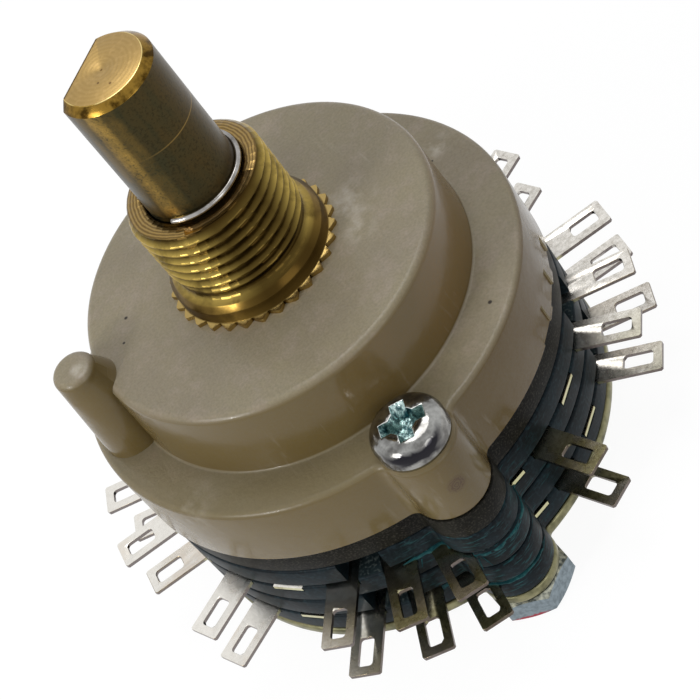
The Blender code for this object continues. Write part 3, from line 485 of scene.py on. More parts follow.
def bushBrassFinish():
    # free-cutting brass, turned: fine tool rings, bright crests, a brown collar, and roots painted dark as
    # painted shade
    material, add, shader, place = startMaterial("turned brass", 1.0, 0.25)
    (x, y, z), flat, radius = latheSheen(add, shader, place, 0.35)
    # painted shade: the thread darkens towards its roots
    metal = overlay(add, "#3a2c14", "#b3994f", radius, 4.38 * mm, 4.72 * mm)
    footed = overlay(add, metal, "#573e18", z, panelZ + 1.75 * mm, panelZ + 1.5 * mm, 0.8)
    patch = add("TexNoise", {"Scale": cells(1.9), "Detail": 5.0, "Roughness": 0.65, "Vector": place})
    stain = add("MapRange", {"Value": patch, "From Min": 0.45, "From Max": 0.7, "To Max": 0.7})
    # painted dark reflection, strongest on the side towards -Y, taken together with the real stains
    direction = add("VectorMath NORMALIZE", {0: flat})
    towards = add("VectorMath DOT_PRODUCT", {0: direction, 1: heading(bush["darkReflectionAngle"])})
    filmAndDarkReflection = add("MapRange", {"Value": towards, "From Min": 0.66, "From Max": 0.93, "To Max": 0.88})
    stainAndDarkReflection = add("Math MAXIMUM", {0: stain, 1: filmAndDarkReflection})
    stainedAndReflecting = add("Mix", {0: stainAndDarkReflection, 6: footed, 7: "#38290f"})
    # the tips of the teeth stay pale
    toothed = overlay(add, stainedAndReflecting, "#b59a5e", radius, bush["collar"], bush["collar"] + 0.1 * mm, 0.9)
    # the top face is open and lighter where the tool left rings
    topColour = overlay(add, "#6f5832", "#a08552", toolRings(add, radius, patch, 0.35, 0.21), -1.0, 1.0)
    colour = overlay(add, toothed, topColour, z, bushTop - 0.05 * mm, bushTop - 0.02 * mm)
    dull = add("MapRange", {"Value": patch, "To Min": 0.12, "To Max": 0.34})
    # the tool chattered: some flats to each turn, out of step from thread to thread
    turnAngle = add("Math ARCTAN2", {0: y, 1: x})
    flats = add("Math MULTIPLY", {0: turnAngle, 1: bush["flats"] / math.tau})
    shifted = add("Math MULTIPLY_ADD", {0: z, 1: 0.37 / (0.794 * mm), 2: flats})
    across = add("Math FRACT", {0: shifted})
    offCentre = add("Math SUBTRACT", {0: across, 1: 0.5})
    dish = add("Math MULTIPLY", {0: offCentre, 1: offCentre})
    above = add("MapRange", {"Value": z, "From Min": panelZ + 1.6 * mm, "From Max": panelZ + 1.7 * mm})
    facets = add("Math MULTIPLY", {0: dish, 1: above})
    chatter = add("Bump", {"Strength": 1.0, "Distance": 0.05 * mm, "Height": facets})
    # a thin film on each tool ring, 0.1 mm apart
    rise = add("Math ADD", {0: radius, 1: z})
    ringed = add("CombineXYZ", {"X": rise})
    fine = add("TexNoise", {"Scale": cells(0.1), "Detail": 1.0, "Vector": ringed})
    bump = add("Bump", {"Strength": 0.5, "Distance": 0.012 * mm, "Height": fine, "Normal": chatter})
    fill(shader, {"Base Color": colour, "Roughness": dull, "Normal": bump})
    return material


shaft = {
    "radius": 3.175 * mm, "chamfer": 0.46 * mm, "burr": 0.05 * mm, "corner": 0.28 * mm, "mark": 0.3 * mm,
    "markDepth": 0.12 * mm, "flat": 1.575 * mm, "flatAngle": 123.3, "flatLength": 9.0 * mm, "steps": 96,
    "grooveDepth": 0.1 * mm, "spindle": 3.0 * mm, "spindleFlat": 2.1 * mm, "pilot": 1.9 * mm,
    # brown spots on the faced end: place in mm, radius
    "spots": [((-0.63, -0.87, 41.1), 0.11), ((-0.13, -1.6, 41.1), 0.12), ((0.0, 0.0, 41.0), 0.1)],
    "ringWire": 0.21 * mm, "ringBite": 0.06 * mm, "ringGap": 64.0, "ringGapAngle": -171.0, "seat": 0.06 * mm,
}


def tipBrassFinish():
    # the faced end is open tan brass with tool rings, its chamfer golden under brown blotches
    material, add, shader, place = startMaterial("faced brass", 1.0, 0.36)
    radius = latheSheen(add, shader, place, 0.3)[2]
    face = facingUp(add, 0.86, 0.96)
    blotch = add("TexNoise", {"Scale": cells(1.1), "Detail": 4.0, "Roughness": 0.6, "Vector": place})
    edge = overlay(add, "#8f6f2e", "#43300f", blotch, 0.42, 0.6)
    rings = toolRings(add, radius, blotch, 0.12, 0.3)
    cloud = add("TexNoise", {"Scale": cells(0.35), "Detail": 4.0, "Vector": place})
    tan = overlay(add, "#a98c57", "#8b6f3a", rings, -1.0, 1.0, 0.22)
    tanDust = overlay(add, tan, "#bf9f68", cloud, 0.5, 0.75, 0.5)
    colour = add("Mix", {0: face, 6: edge, 7: tanDust})
    # a dark line where the flat was milled
    across = add("VectorMath DOT_PRODUCT", {0: place, 1: heading(shaft["flatAngle"])})
    colour = overlay(add, colour, "#3a2a12", across, shaft["flat"] - 0.13 * mm, shaft["flat"] - 0.07 * mm, 0.85)
    for centre, size in shaft["spots"]:
        spot = spotMask(add, place, centre, size * 0.4, size)
        colour = add("Mix", {0: spot, 6: colour, 7: "#6b5130"})
    dress(add, shader, colour, face, 0.22, 0.42, rings, 0.3, 0.006)
    return material


agedBrass = {
    # the dark base is partly a film of age and partly a painted dark reflection, the warm brown is a painted
    # reflection, and the gold is a painted highlight
    "filmAndDarkReflection": "#393624", "warm": "#4a3c22", "highlightGold": "#ad8c45", "black": "#1f1c13",
    # painted highlight lines in gold along the shaft: angle, half width in degrees, strength
    "rubsAndHighlights": [(-135.0, 13.0, 0.95), (-118.0, 12.0, 0.22), (-153.0, 9.0, 0.3)],
    "scratchZ": 36.35,
}


def agedBrassFinish():
    # the same brass, dark olive and brown, partly a film of age and partly a painted reflection of dark
    # surroundings, with painted highlight lines in gold along the shaft
    material, add, shader, place = startMaterial("aged brass", 1.0, 0.3)
    (x, _, z), flat, _ = latheSheen(add, shader, place, 0.45)
    streak = drawnNoise(add, place, (0.6, 0.6, 6.0), {"Detail": 5.0, "Roughness": 0.6})
    cloud = add("TexNoise", {"Scale": cells(2.4), "Detail": 7.0, "Roughness": 0.75, "Vector": place})
    grain = add("TexNoise", {"Scale": cells(0.16), "Detail": 2.0, "Vector": place})
    both = add("Math ADD", {0: streak, 1: cloud})
    share = add("MapRange", {"Value": both, "From Min": 0.8, "From Max": 1.2})
    # warmer towards +X: a painted reflection of the brown housing
    east = add("MapRange", {"Value": x, "From Min": -0.5 * mm, "From Max": 3.0 * mm, "To Max": 0.5})
    warm = add("Math MULTIPLY_ADD", {0: share, 1: 0.6, 2: east})
    colour = add("Mix", {0: warm, 6: agedBrass["filmAndDarkReflection"], 7: agedBrass["warm"]})
    direction = add("VectorMath NORMALIZE", {0: flat})
    mixed = add("Math MULTIPLY_ADD", {0: grain, 1: 0.6, 2: cloud})
    broken = add("MapRange", {"Value": mixed, "From Min": 0.62, "From Max": 0.98})
    # painted highlight lines along the shaft, broken by noise
    for angle, half, strength in agedBrass["rubsAndHighlights"]:
        towards = add("VectorMath DOT_PRODUCT", {0: direction, 1: heading(angle)})
        line = add("MapRange", {"interpolation_type": "SMOOTHSTEP", "Value": towards,
                                "From Min": math.cos(math.radians(half)), "From Max": 0.9998,
                                "To Max": strength})
        paintedHighlight = add("Math MULTIPLY", {0: line, 1: broken})
        colour = add("Mix", {0: paintedHighlight, 6: colour, 7: agedBrass["highlightGold"]})
    # grit in the film
    colour = overlay(add, colour, agedBrass["black"], grain, 0.5, 0.7, 0.45)
    # one fine scratch part of the way round
    offset = add("Math SUBTRACT", {0: z, 1: agedBrass["scratchZ"] * mm})
    away = add("Math ABSOLUTE", {0: offset})
    line = add("MapRange", {"Value": away, "From Min": 0.06 * mm, "From Max": 0.02 * mm, "To Max": 0.6})
    reach = add("MapRange", {"Value": x, "From Min": -1.6 * mm, "From Max": 0.8 * mm, "To Min": 0.15})
    scratch = add("Math MULTIPLY", {0: line, 1: reach})
    colour = add("Mix", {0: scratch, 6: colour, 7: "#8f7440"})
    dress(add, shader, colour, cloud, 0.2, 0.48, grain, 0.5, 0.012)
    return material


def platedMetal(name, colour, stainColour, roughness, grainSize, stainFrom=0.5, stainTo=0.75):
    # thin bright plating over a worked surface: fine grain, a few duller stains
    material, add, shader, place = startMaterial(name, 1.0, roughness)
    patch = add("TexNoise", {"Scale": cells(1.4), "Detail": 5.0, "Roughness": 0.6, "Vector": place})
    metal = overlay(add, colour, stainColour, patch, stainFrom, stainTo)
    grain = add("TexNoise", {"Scale": cells(grainSize), "Detail": 2.0, "Vector": place})
    dress(add, shader, metal, patch, roughness * 0.75, roughness * 1.6, grain, 0.15, 0.02)
    return material


def chromeFinish():
    # chrome, light on the crown and the rim, dark on the shoulder: a painted reflection of dark surroundings,
    # broken into patches
    material, add, shader, place = startMaterial("chromed steel", 1.0, 0.1)
    z = add("SeparateXYZ", {0: place}).outputs["Z"]
    patch = add("TexNoise", {"Scale": cells(1.0), "Detail": 4.0, "Vector": place})
    level = add("Math MULTIPLY_ADD", {0: patch, 1: 0.9 * mm, 2: z})
    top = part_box("screw_front")[1].z
    # painted reflection: the crown and the rim stay light
    crown = add("MapRange", {"Value": level, "From Min": top - 0.12 * mm, "From Max": top + 0.1 * mm})
    rim = add("MapRange", {"Value": level, "From Min": top - 0.7 * mm, "From Max": top - 0.95 * mm,
                           "To Max": 0.8})
    bright = add("Math MAXIMUM", {0: crown, 1: rim})
    # the painted dark reflection sits on the faces turned away from the drum
    normal = add("NewGeometry").outputs["Normal"]
    away = add("VectorMath DOT_PRODUCT", {0: normal, 1: (-0.25, -0.85, 0.46)})
    outsideDarkReflection = add("MapRange", {"Value": away, "From Min": 0.82, "From Max": 0.6})
    brighter = add("Math MAXIMUM", {0: bright, 1: outsideDarkReflection})
    base = overlay(add, "#a8a7a3", "#64625f", patch, 0.35, 0.6)
    metal = add("Mix", {0: brighter, 6: "#2c2b2f", 7: base})
    waves = add("TexNoise", {"Scale": cells(0.55), "Detail": 2.0, "Vector": place})
    dress(add, shader, metal, patch, 0.05, 0.2, waves, 0.6, 0.03)
    return material


def recessFinish():
    # zinc with a blue-green passivate, left by the punch in crumpled streaks of light and dark
    material, add, shader, place = startMaterial("blue passivated zinc", 1.0, 0.2)
    streak = drawnNoise(add, place, (0.3, 0.3, 0.9), {"Detail": 4.0, "Roughness": 0.65})
    metal = overlay(add, "#c2d6d2", "#234b51", streak, 0.4, 0.6)
    bump = add("Bump", {"Strength": 0.9, "Distance": 0.08 * mm, "Height": streak})
    fill(shader, {"Base Color": metal, "Normal": bump})
    return material


def nutFinish():
    # zinc, grey and a little blue, with speckled bevels and a line of red lacquer along the lowest edge
    material, add, shader, place = startMaterial("zinc plate", 1.0, 0.33)
    x, _, z = add("SeparateXYZ", {0: place}).outputs
    grain = add("TexNoise", {"Scale": cells(0.3), "Detail": 3.0, "Vector": place})
    fleck = add("MapRange", {"Value": grain, "From Min": 0.35, "From Max": 0.65})
    upper = add("Mix", {0: fleck, 6: "#4d5250", 7: "#b9b9a8"})
    flank = add("Mix", {0: fleck, 6: "#6c777d", 7: "#87939a"})
    metal = add("Mix", {0: facingUp(add, 0.2, 0.5), 6: flank, 7: upper})
    level = add("Math MULTIPLY_ADD", {0: grain, 1: 0.3 * mm, 2: z})
    low = add("MapRange", {"Value": level, "From Min": 0.5 * mm, "From Max": 0.38 * mm})
    west = add("MapRange", {"Value": x, "From Min": -0.3 * mm, "From Max": -0.9 * mm})
    lacquer = add("Math MULTIPLY", {0: low, 1: west})
    colour = add("Mix", {0: lacquer, 6: metal, 7: "#9b3d49"})
    bump = add("Bump", {"Strength": 0.3, "Distance": 0.015 * mm, "Height": grain})
    fill(shader, {"Base Color": colour, "Normal": bump})
    return material


def lugFinish():
    # bronze strip dipped in tin: bright on its faces, dark on the sheared edges, gone brassy at the front
    material, add, shader, place = startMaterial("tinned bronze strip", 1.0, 0.24)
    x, y, _ = add("SeparateXYZ", {0: place}).outputs
    facing = add("SeparateXYZ", {0: add("NewGeometry").outputs["Normal"]})
    grain = add("TexNoise", {"Scale": cells(0.3), "Detail": 4.0, "Roughness": 0.7, "Vector": place})
    patch = add("TexNoise", {"Scale": cells(2.2), "Detail": 4.0, "Vector": place})
    speckle = add("MapRange", {"Value": grain, "From Min": 0.4, "From Max": 0.7})
    tin = add("Mix", {0: speckle, 6: "#dfdad2", 7: "#b5afa5"})
    front = add("MapRange", {"Value": y, "From Min": -9.0 * mm, "From Max": -16.0 * mm, "To Max": 0.95})
    worn = add("MapRange", {"Value": patch, "From Min": 0.3, "From Max": 0.55})
    brassy = add("Math MULTIPLY", {0: front, 1: worn})
    olive = add("Mix", {0: speckle, 6: "#9a946c", 7: "#6f6844"})
    tarnished = add("Mix", {0: brassy, 6: tin, 7: olive})
    # bronze shows through on a few at the left
    west = add("MapRange", {"Value": x, "From Min": -9.0 * mm, "From Max": -16.0 * mm, "To Max": 0.7})
    bare = add("MapRange", {"Value": patch, "From Min": 0.52, "From Max": 0.62})
    bronze = add("Math MULTIPLY", {0: west, 1: bare})
    bronzed = add("Mix", {0: bronze, 6: tarnished, 7: "#b6946a"})
    # the far left ones are paler
    bronzed = overlay(add, bronzed, "#f5f0e7", x, -8.0 * mm, -14.5 * mm, 0.7)
    upright = add("Math ABSOLUTE", {0: facing.outputs["Z"]})
    # the tails of the commons end flush with the rim and stay yellow
    level = add("VectorMath MULTIPLY", {0: place, 1: (1.0, 1.0, 0.0)})
    radius = add("VectorMath LENGTH", {0: level})
    cutEdge = overlay(add, "#c3c094", "#4a3c40", radius, 15.5 * mm, 15.8 * mm)
    colour = overlay(add, bronzed, cutEdge, upright, 0.35, 0.15, 0.8)
    dress(add, shader, colour, patch, 0.14, 0.38, grain, 0.4, 0.015)
    return material


def filledResin(name, base, tint, fleck, roughness, fleckShare, specular=0.5, fleckSize=0.26):
    # glass-filled resin, moulded: dark satin, cloudy tint, pale flecks of fibre at the skin
    material, add, shader, place = startMaterial(name, 0.0, roughness)
    cloud = add("TexNoise", {"Scale": cells(2.6), "Detail": 5.0, "Roughness": 0.6, "Vector": place})
    body = overlay(add, base, tint, cloud, 0.42, 0.66)
    fibres = add("TexNoise", {"Scale": cells(fleckSize), "Detail": 2.0, "Vector": place})
    colour = overlay(add, body, fleck, fibres, 0.5, 0.74, fleckShare)
    if name == "wafer resin":
        # strokes of blue-green along the walls by the screw, where flash was wiped off
        stroke = drawnNoise(add, place, (1.3, 1.3, 0.16), {"Detail": 4.0, "Roughness": 0.65}, (0.12, 0.1, 0.0))
        thin = add("MapRange", {"Value": stroke, "From Min": 0.56, "From Max": 0.7, "To Max": 0.75})
        y = add("SeparateXYZ", {0: place}).outputs["Y"]
        near = add("MapRange", {"Value": y, "From Min": -15.5 * mm, "From Max": -13.5 * mm,
                                "To Min": 1.0, "To Max": 0.1})
        strokes = add("Math MULTIPLY", {0: thin, 1: near})
        colour = add("Mix", {0: strokes, 6: colour, 7: "#2f6468"})
    dress(add, shader, colour, cloud, roughness * 0.8, roughness * 1.3, fibres, 0.5, 0.02)
    fill(shader, {"Specular IOR Level": specular})
    return material


finish = {
    "nylon": mouldedNylon(), "bush": bushBrassFinish(), "tip": tipBrassFinish(), "shaft": agedBrassFinish(),
    "ring": platedMetal("drawn steel wire", "#aaa6a2", "#5c5750", 0.15, 0.3, 0.4, 0.65),
    "burr": platedMetal("burnished brass", "#e6cd8a", "#a8873f", 0.2, 0.3, 0.4, 0.6),
    "chrome": chromeFinish(), "recess": recessFinish(), "nut": nutFinish(), "lug": lugFinish(),
    "mouth": platedMetal("burnished zinc", "#f2f2ee", "#d9d9d4", 0.12, 0.2),
    "lugEdge": platedMetal("bare bronze edge", "#a3957a", "#6b5a3f", 0.2, 0.2, 0.4, 0.6),
    "backPlate": platedMetal("nickel plate", "#8c8868", "#55543f", 0.3, 0.25, 0.4, 0.65),
    "stopRing": platedMetal("steel strip", "#a8a39a", "#7c766c", 0.3, 0.3),
    "wiper": platedMetal("phosphor bronze", "#b98a56", "#8d6038", 0.3, 0.3),
    # pale steps of the marks on the rim: a painted highlight
    "highlitStepNylon": filledResin("nylon, painted highlight", "#b0a486", "#94865f", "#c9bfa6", 0.3, 0.4, 0.3),
    "acetal": filledResin("acetal", "#d8d5cc", "#c9c5ba", "#eeece6", 0.4, 0.2),
    "board": filledResin("dark phenolic board", "#100f0c", "#1d1c17", "#524e46", 0.4, 0.45, 0.06, 0.13),
    "wafer": filledResin("wafer resin", "#0b1216", "#152127", "#31444b", 0.42, 0.35, 0.09),
    "waferFloor": filledResin("wafer resin, rough face", "#151f22", "#283538", "#68716e", 0.55, 0.6, 0.12, 0.2),
    "flash": filledResin("resin flash", "#173d42", "#1f4f53", "#3f7472", 0.5, 0.5, 0.1),
}
print("materials made:", len(finish))


# housing

housing = {
    "drumRadius": 12.2 * mm, "drumDraft": 0.15 * mm, "drumHeight": 5.5 * mm, "drumRounding": 0.55 * mm,
    "footFillet": 0.18 * mm, "flangeRadius": 15.55 * mm, "flangeRounding": 0.4 * mm,
    "bossRadius": 2.6 * mm, "bossRise": 0.1 * mm, "cornerFillet": 0.9 * mm,
    "pegDistance": 13.1 * mm, "pegAngle": 176.4, "pegBase": 2.0 * mm, "pegTip": 1.48 * mm,
    "pegRounding": 0.5 * mm, "pegReach": 1.9 * mm,
    "shoulderDistance": 12.8 * mm, "shoulderTip": 1.2 * mm, "shoulderBase": 1.85 * mm,
    "roof": 2.3 * mm, "wall": 1.4 * mm, "flangeRoof": 1.1 * mm, "cavityRadius": 12.8 * mm,
    "shankHole": 4.4 * mm, "screwHole": 1.35 * mm,
    "markAngles": (-26.0, -36.5, -47.0), "markWidth": 1.9 * mm, "markHeight": 1.7 * mm, "markDepth": 0.16 * mm,
    "steps": 160,
}


def bossArcs(radius, bossRadius, distance, fillet, steps):
    # where a round boss at +Y leaves a disc: fillet, boss, fillet, and the angle at which it starts on the disc
    reach, gap = radius + fillet, bossRadius + fillet
    y = (reach ** 2 - gap ** 2 + distance ** 2) / (2 * distance)
    x = math.sqrt(reach ** 2 - y ** 2)
    side = math.degrees(math.atan2(y, x))
    lean = math.degrees(math.atan2(y - distance, x))
    points = arcPoints((x, y), fillet, side + 180, lean + 180, steps)
    points += arcPoints((0, distance), bossRadius, lean, 180 - lean, 5 * steps)[1:]
    points += arcPoints((-x, y), fillet, -lean, -side, steps)[1:]
    return points, side


def bossedOutline(radius, bossRadius, fillet, steps):
    # a disc with a round boss about each screw
    boss, side = bossArcs(radius, bossRadius, screwY, fillet, max(4, steps // 24))
    half = arcPoints((0, 0), radius, -side, side, steps // 2) + boss[1:-1]
    return half + [(-x, -y) for x, y in half]


def makeHousing():
    flangeTop = panelZ - housing["drumHeight"]
    outline = bossedOutline(*(housing[key] for key in ("flangeRadius", "bossRadius", "cornerFillet", "steps")))
    shape = outlineShape(outline, flangeBottom, flangeTop, housing["flangeRounding"], 0.08 * mm, 6)
    drum, rounding, foot = housing["drumRadius"], housing["drumRounding"], housing["footFillet"]
    drumFoot = drum + housing["drumDraft"]
    sunk = flangeTop - rounding
    drumProfile = [(0.0, panelZ), *arcPoints((drum - rounding, panelZ - rounding), rounding, 90, 0, 9),
                   *arcPoints((drumFoot + foot, flangeTop + foot), foot, 180, 270, 4), (drumFoot + foot, sunk),
                   (0.0, sunk)]
    pegTop, pegRounding, pegBase = panelZ + housing["pegReach"], housing["pegRounding"], housing["pegBase"]
    arcCentre = (housing["pegTip"] - pegRounding, pegTop - pegRounding)
    pegProfile = [(0.0, pegTop), *arcPoints(arcCentre, pegRounding, 90, 0, 6), (pegBase, sunk), (0.0, sunk)]
    # the peg's side towards the drum slopes more
    shoulder = [(0.0, pegTop - pegRounding), (housing["shoulderTip"], pegTop - pegRounding),
                (housing["shoulderBase"], panelZ), (pegBase, sunk), (0.0, sunk)]
    pegPlace = Vector(heading(housing["pegAngle"]))
    tools = [turnedShape(drumProfile, housing["steps"]),
             moved(turnedShape(pegProfile, 48), pegPlace * housing["pegDistance"]),
             moved(turnedShape(shoulder, 48), pegPlace * housing["shoulderDistance"])]
    pad, rise = housing["bossRadius"] - 0.05 * mm, housing["bossRise"]
    padTop, padBottom = flangeTop + rise, flangeTop - rise
    padProfile = [(0.0, padTop), (pad - rise, padTop), (pad, padBottom), (0.0, padBottom)]
    tools += [moved(turnedShape(padProfile, 48), (0, side * screwY, 0)) for side in (-1, 1)]
    shape = combine(shape, tools, "UNION")
    roofBottom = panelZ - housing["roof"]
    deep = housing["drumRadius"] - housing["wall"]
    low, step, cavity = flangeBottom - 1 * mm, flangeTop - housing["flangeRoof"], housing["cavityRadius"]
    hollow = [(0.0, roofBottom), (deep, roofBottom), (deep, step), (cavity, step), (cavity, low), (0.0, low)]
    cutters = [turnedShape(hollow, 96), roundHole(housing["shankHole"], 0, 0, roofBottom, panelZ, 96)]
    cutters += [roundHole(housing["screwHole"], 0, side * screwY, flangeBottom, panelZ) for side in (-1, 1)]
    half, markTop = housing["markWidth"] / 2, flangeBottom + housing["markHeight"]
    rim, markFloor = housing["flangeRadius"], housing["flangeRadius"] - housing["markDepth"]
    for angle in housing["markAngles"]:
        cutters.append(boxShape((markFloor, -half, low), (rim + 2 * mm, half, markTop), angle))
    shape = combine(shape, cutters, "DIFFERENCE")
    # the marks are shallow and show by their pale steps, a painted highlight
    for face in shape.faces:
        middle = face.calc_center_median()
        if (markFloor - 0.02 * mm < middle.xy.length < rim - 0.001 * mm
                and flangeBottom + 0.1 * mm < middle.z < markTop + 0.017 * mm
                and abs(face.normal.dot(middle.xy.to_3d().normalized())) < 0.7):
            face.material_index = 1
    makePiece("housingMoulding", shape, "fixed", [finish["nylon"], finish["highlitStepNylon"]],
              ["housing"], 32)


makeHousing()
print("housing moulded")


# bush; its values stand with its finish

def threadRadius(angle, height):
    # right-handed thread with a rounded crest, cut by the chamfer above and running out below
    phase = (height / bush["pitch"] - angle / math.tau) % 1.0
    tooth = 1.0 - abs(2.0 * phase - 1.0)
    tooth = min(1.0, max(0.0, 1.3 * tooth - 0.1))
    runOut = min(1.0, max(0.0, (height - panelZ - bush["threadStart"]) / bush["pitch"]))
    root = bush["thread"] - bush["depth"]
    low = bush["neck"] + (root - bush["neck"]) * runOut
    radius = low + (bush["thread"] - low) * tooth * runOut
    chamfered = bush["thread"] - bush["chamfer"] + (bushTop - height)
    return min(radius, chamfered)


def makeBush():
    threadBottom = panelZ + bush["threadStart"]
    rows = round((bushTop - threadBottom) / (bush["pitch"] / bush["rowsPerTurn"]))
    bore, neck, lip, collar, tooth = (bush[key] for key in ("bore", "neck", "lip", "collar", "tooth"))
    lipTop, collarTop, toothTop = (panelZ + bush[key] for key in ("lipHeight", "collarHeight", "toothHeight"))
    shankEnd = panelZ - housing["roof"]
    profile = [(bore, bushTop - 0.06 * mm), (bore + 0.06 * mm, bushTop)]
    profile += [(bush["thread"], bushTop - (bushTop - threadBottom) * row / rows) for row in range(rows + 1)]
    profile += [(neck + 0.06 * mm, panelZ + 1.8 * mm), (neck + 0.22 * mm, panelZ + 1.68 * mm), (lip, lipTop),
                (lip + 0.05 * mm, lipTop - 0.06 * mm), (collar - 0.04 * mm, collarTop + 0.05 * mm),
                (collar, collarTop - 0.03 * mm), (collar, toothTop + 0.02 * mm), (collar + 0.02 * mm, toothTop),
                (tooth, toothTop), (tooth, panelZ), (bush["shank"], panelZ), (bush["shank"], shankEnd),
                (bore, shankEnd)]
    shape = turnedShape(profile, bush["steps"])
    for vert in shape.verts:
        angle = math.atan2(vert.co.y, vert.co.x)
        radius = math.hypot(vert.co.x, vert.co.y)
        wanted = radius
        if vert.co.z > threadBottom - touching and radius > bush["thread"] - 10 * touching:
            wanted = threadRadius(angle, vert.co.z)
        elif radius > tooth - 10 * touching:
            phase = (angle / math.tau * bush["teeth"]) % 1.0
            saw = min(phase / bush["toothLean"], (1.0 - phase) / (1.0 - bush["toothLean"]))
            wanted = collar + (tooth - collar) * saw
        vert.co.x *= wanted / radius
        vert.co.y *= wanted / radius
    makePiece("threadedBush", shape, "fixed", [finish["bush"]], ["bush"], 48)


makeBush()
print("bush threaded")


# shaft and its ring; their values stand with the finishes

def makeShaft():
    grooveLow = bushTop + shaft["seat"] - shaft["ringBite"]
    grooveHigh = bushTop + shaft["seat"] + 1.5 * shaft["ringWire"]
    shoulder = panelZ - housing["roof"] - 0.1 * mm
    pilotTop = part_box("back_plate")[1].z + 0.1 * mm
    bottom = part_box("shaft")[0].z
    radius, chamfer, burr = shaft["radius"], shaft["chamfer"], shaft["burr"]
    groove, spindle, pilot = radius - shaft["grooveDepth"], shaft["spindle"], shaft["pilot"]
    profile = [(0.0, shaftTop - shaft["markDepth"]), (shaft["mark"], shaftTop),
               (radius - chamfer - burr, shaftTop), (radius - chamfer, shaftTop - burr / 2),
               (radius - 0.03 * mm, shaftTop - chamfer + 0.02 * mm), (radius, shaftTop - chamfer - 0.03 * mm),
               (radius, grooveHigh), (groove, grooveHigh), (groove, grooveLow), (radius, grooveLow),
               (radius, shoulder), (spindle, shoulder), (spindle, pilotTop), (pilot, pilotTop), (pilot, bottom),
               (0.0, bottom)]
    shape = turnedShape(profile, shaft["steps"])
    reach = 2 * radius
    flat, flatEnd, across = shaft["flat"], shaftTop - shaft["flatLength"], Vector(heading(shaft["flatAngle"]))
    cutters = [boxShape((flat, -reach, flatEnd), (reach, reach, shaftTop + reach), shaft["flatAngle"])]
    for angle in (0.0, 180.0):
        cutters.append(boxShape((shaft["spindleFlat"], -reach, 0.0), (reach, reach, shoulder), angle))
    shape = combine(shape, cutters, "DIFFERENCE")

    def besideFlat(edge):
        first, second = edge.verts
        return (max(first.co.z, second.co.z) > flatEnd + 0.1 * shaft["flatLength"]
                and min(first.co.dot(across), second.co.dot(across)) > flat - 0.01 * mm
                and abs(first.co.z - second.co.z) > 0.02 * mm)

    softenSharp(shape, shaft["corner"], 3, 40, besideFlat)
    # faced end and chamfer, and between them a bright burr
    for face in shape.faces:
        middle = face.calc_center_median()
        if middle.z > shaftTop - chamfer - 0.02 * mm:
            face.material_index = 1
            if shaftTop - 0.45 * burr < middle.z < shaftTop - touching and middle.xy.length > 2 * mm:
                face.material_index = 2
    makePiece("shaftRod", shape, "turning", [finish["shaft"], finish["tip"], finish["burr"]],
              ["shaft"], 30)


def makeRing():
    shape = bmesh.new()
    made = bmesh.ops.create_circle(shape, segments=20, radius=shaft["ringWire"])["verts"]
    centre = shaft["radius"] + shaft["ringWire"] - shaft["ringBite"]
    height = bushTop + shaft["seat"] + shaft["ringWire"]
    upright = Matrix.Translation((centre, 0, height)) @ Matrix.Rotation(math.radians(90), 4, "X")
    bmesh.ops.transform(shape, matrix=upright, verts=made)
    swung(shape, shaft["ringGapAngle"] + shaft["ringGap"] / 2)
    bmesh.ops.spin(shape, geom=shape.verts[:] + shape.edges[:], cent=(0, 0, 0), axis=(0, 0, 1),
                   angle=math.radians(360 - shaft["ringGap"]), steps=90)
    bmesh.ops.holes_fill(shape, edges=shape.edges)
    bmesh.ops.recalc_face_normals(shape, faces=shape.faces)
    softenSharp(shape, 0.08 * mm, 2, 60)
    makePiece("retainingWire", shape, "turning", [finish["ring"]], ["retaining_ring"], 50)


makeShaft()
makeRing()
print("shaft and ring turned")


# screws and nuts

screw = {
    "radius": 1.25 * mm, "head": 2.47 * mm, "crown": 1.3 * mm, "height": 1.65 * mm, "rim": 0.7 * mm,
    "armHalf": 1.62 * mm, "armWidth": 1.05 * mm, "heart": 1.02 * mm, "depth": 1.1 * mm, "turn": -18.0,
    "tip": 0.2 * mm, "steps": 64,
    "nutFlat": 2.65 * mm, "nutChamfer": 0.3 * mm,
}


def recessShapes(topZ):
    # two crossing blades and a square heart between them, all narrower at the bottom
    shapes = []
    half, wide, heart = screw["armHalf"], screw["armWidth"] / 2, screw["heart"]
    for turn, x, y, narrowX, narrowY in ((0.0, half, wide, 0.6, 0.6), (90.0, half, wide, 0.6, 0.6),
                                         (45.0, heart, heart, 0.55, 0.55)):
        blade = boxShape((-x, -y, topZ - screw["depth"]), (x, y, topZ + 0.3 * mm))
        for vert in blade.verts:
            if vert.co.z < topZ:
                vert.co.x *= narrowX
                vert.co.y *= narrowY
        shapes.append(swung(blade, screw["turn"] + turn))
    return shapes


def makeScrews():
    low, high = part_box("screw_front")
    headBottom = high.z - screw["height"]
    rimTop = headBottom + screw["rim"]
    profile = [(0.0, high.z)]
    for x, y in arcPoints((0, 0), 1.0, 90, 0, 12):
        profile.append((screw["crown"] + (screw["head"] - screw["crown"]) * x, rimTop + (high.z - rimTop) * y))
    profile += [(screw["head"], headBottom + 0.1 * mm), (screw["head"] - 0.1 * mm, headBottom),
                (screw["radius"], headBottom), (screw["radius"], low.z + screw["tip"]),
                (screw["radius"] - screw["tip"], low.z), (0.0, low.z)]
    for name, node, side in (("screwFront", "screw_front", -1), ("screwRear", "screw_rear", 1)):
        shape = combine(turnedShape(profile, screw["steps"]), recessShapes(high.z), "DIFFERENCE", 1)
        mouth = [edge for edge in shape.edges if len({face.material_index for face in edge.link_faces}) == 2]
        bevelEdges(shape, mouth, 0.1 * mm, 2, 2)
        makePiece(name, moved(shape, (0, side * screwY, 0)), "fixed",
                  [finish["chrome"], finish["recess"], finish["mouth"]], [node], 40)


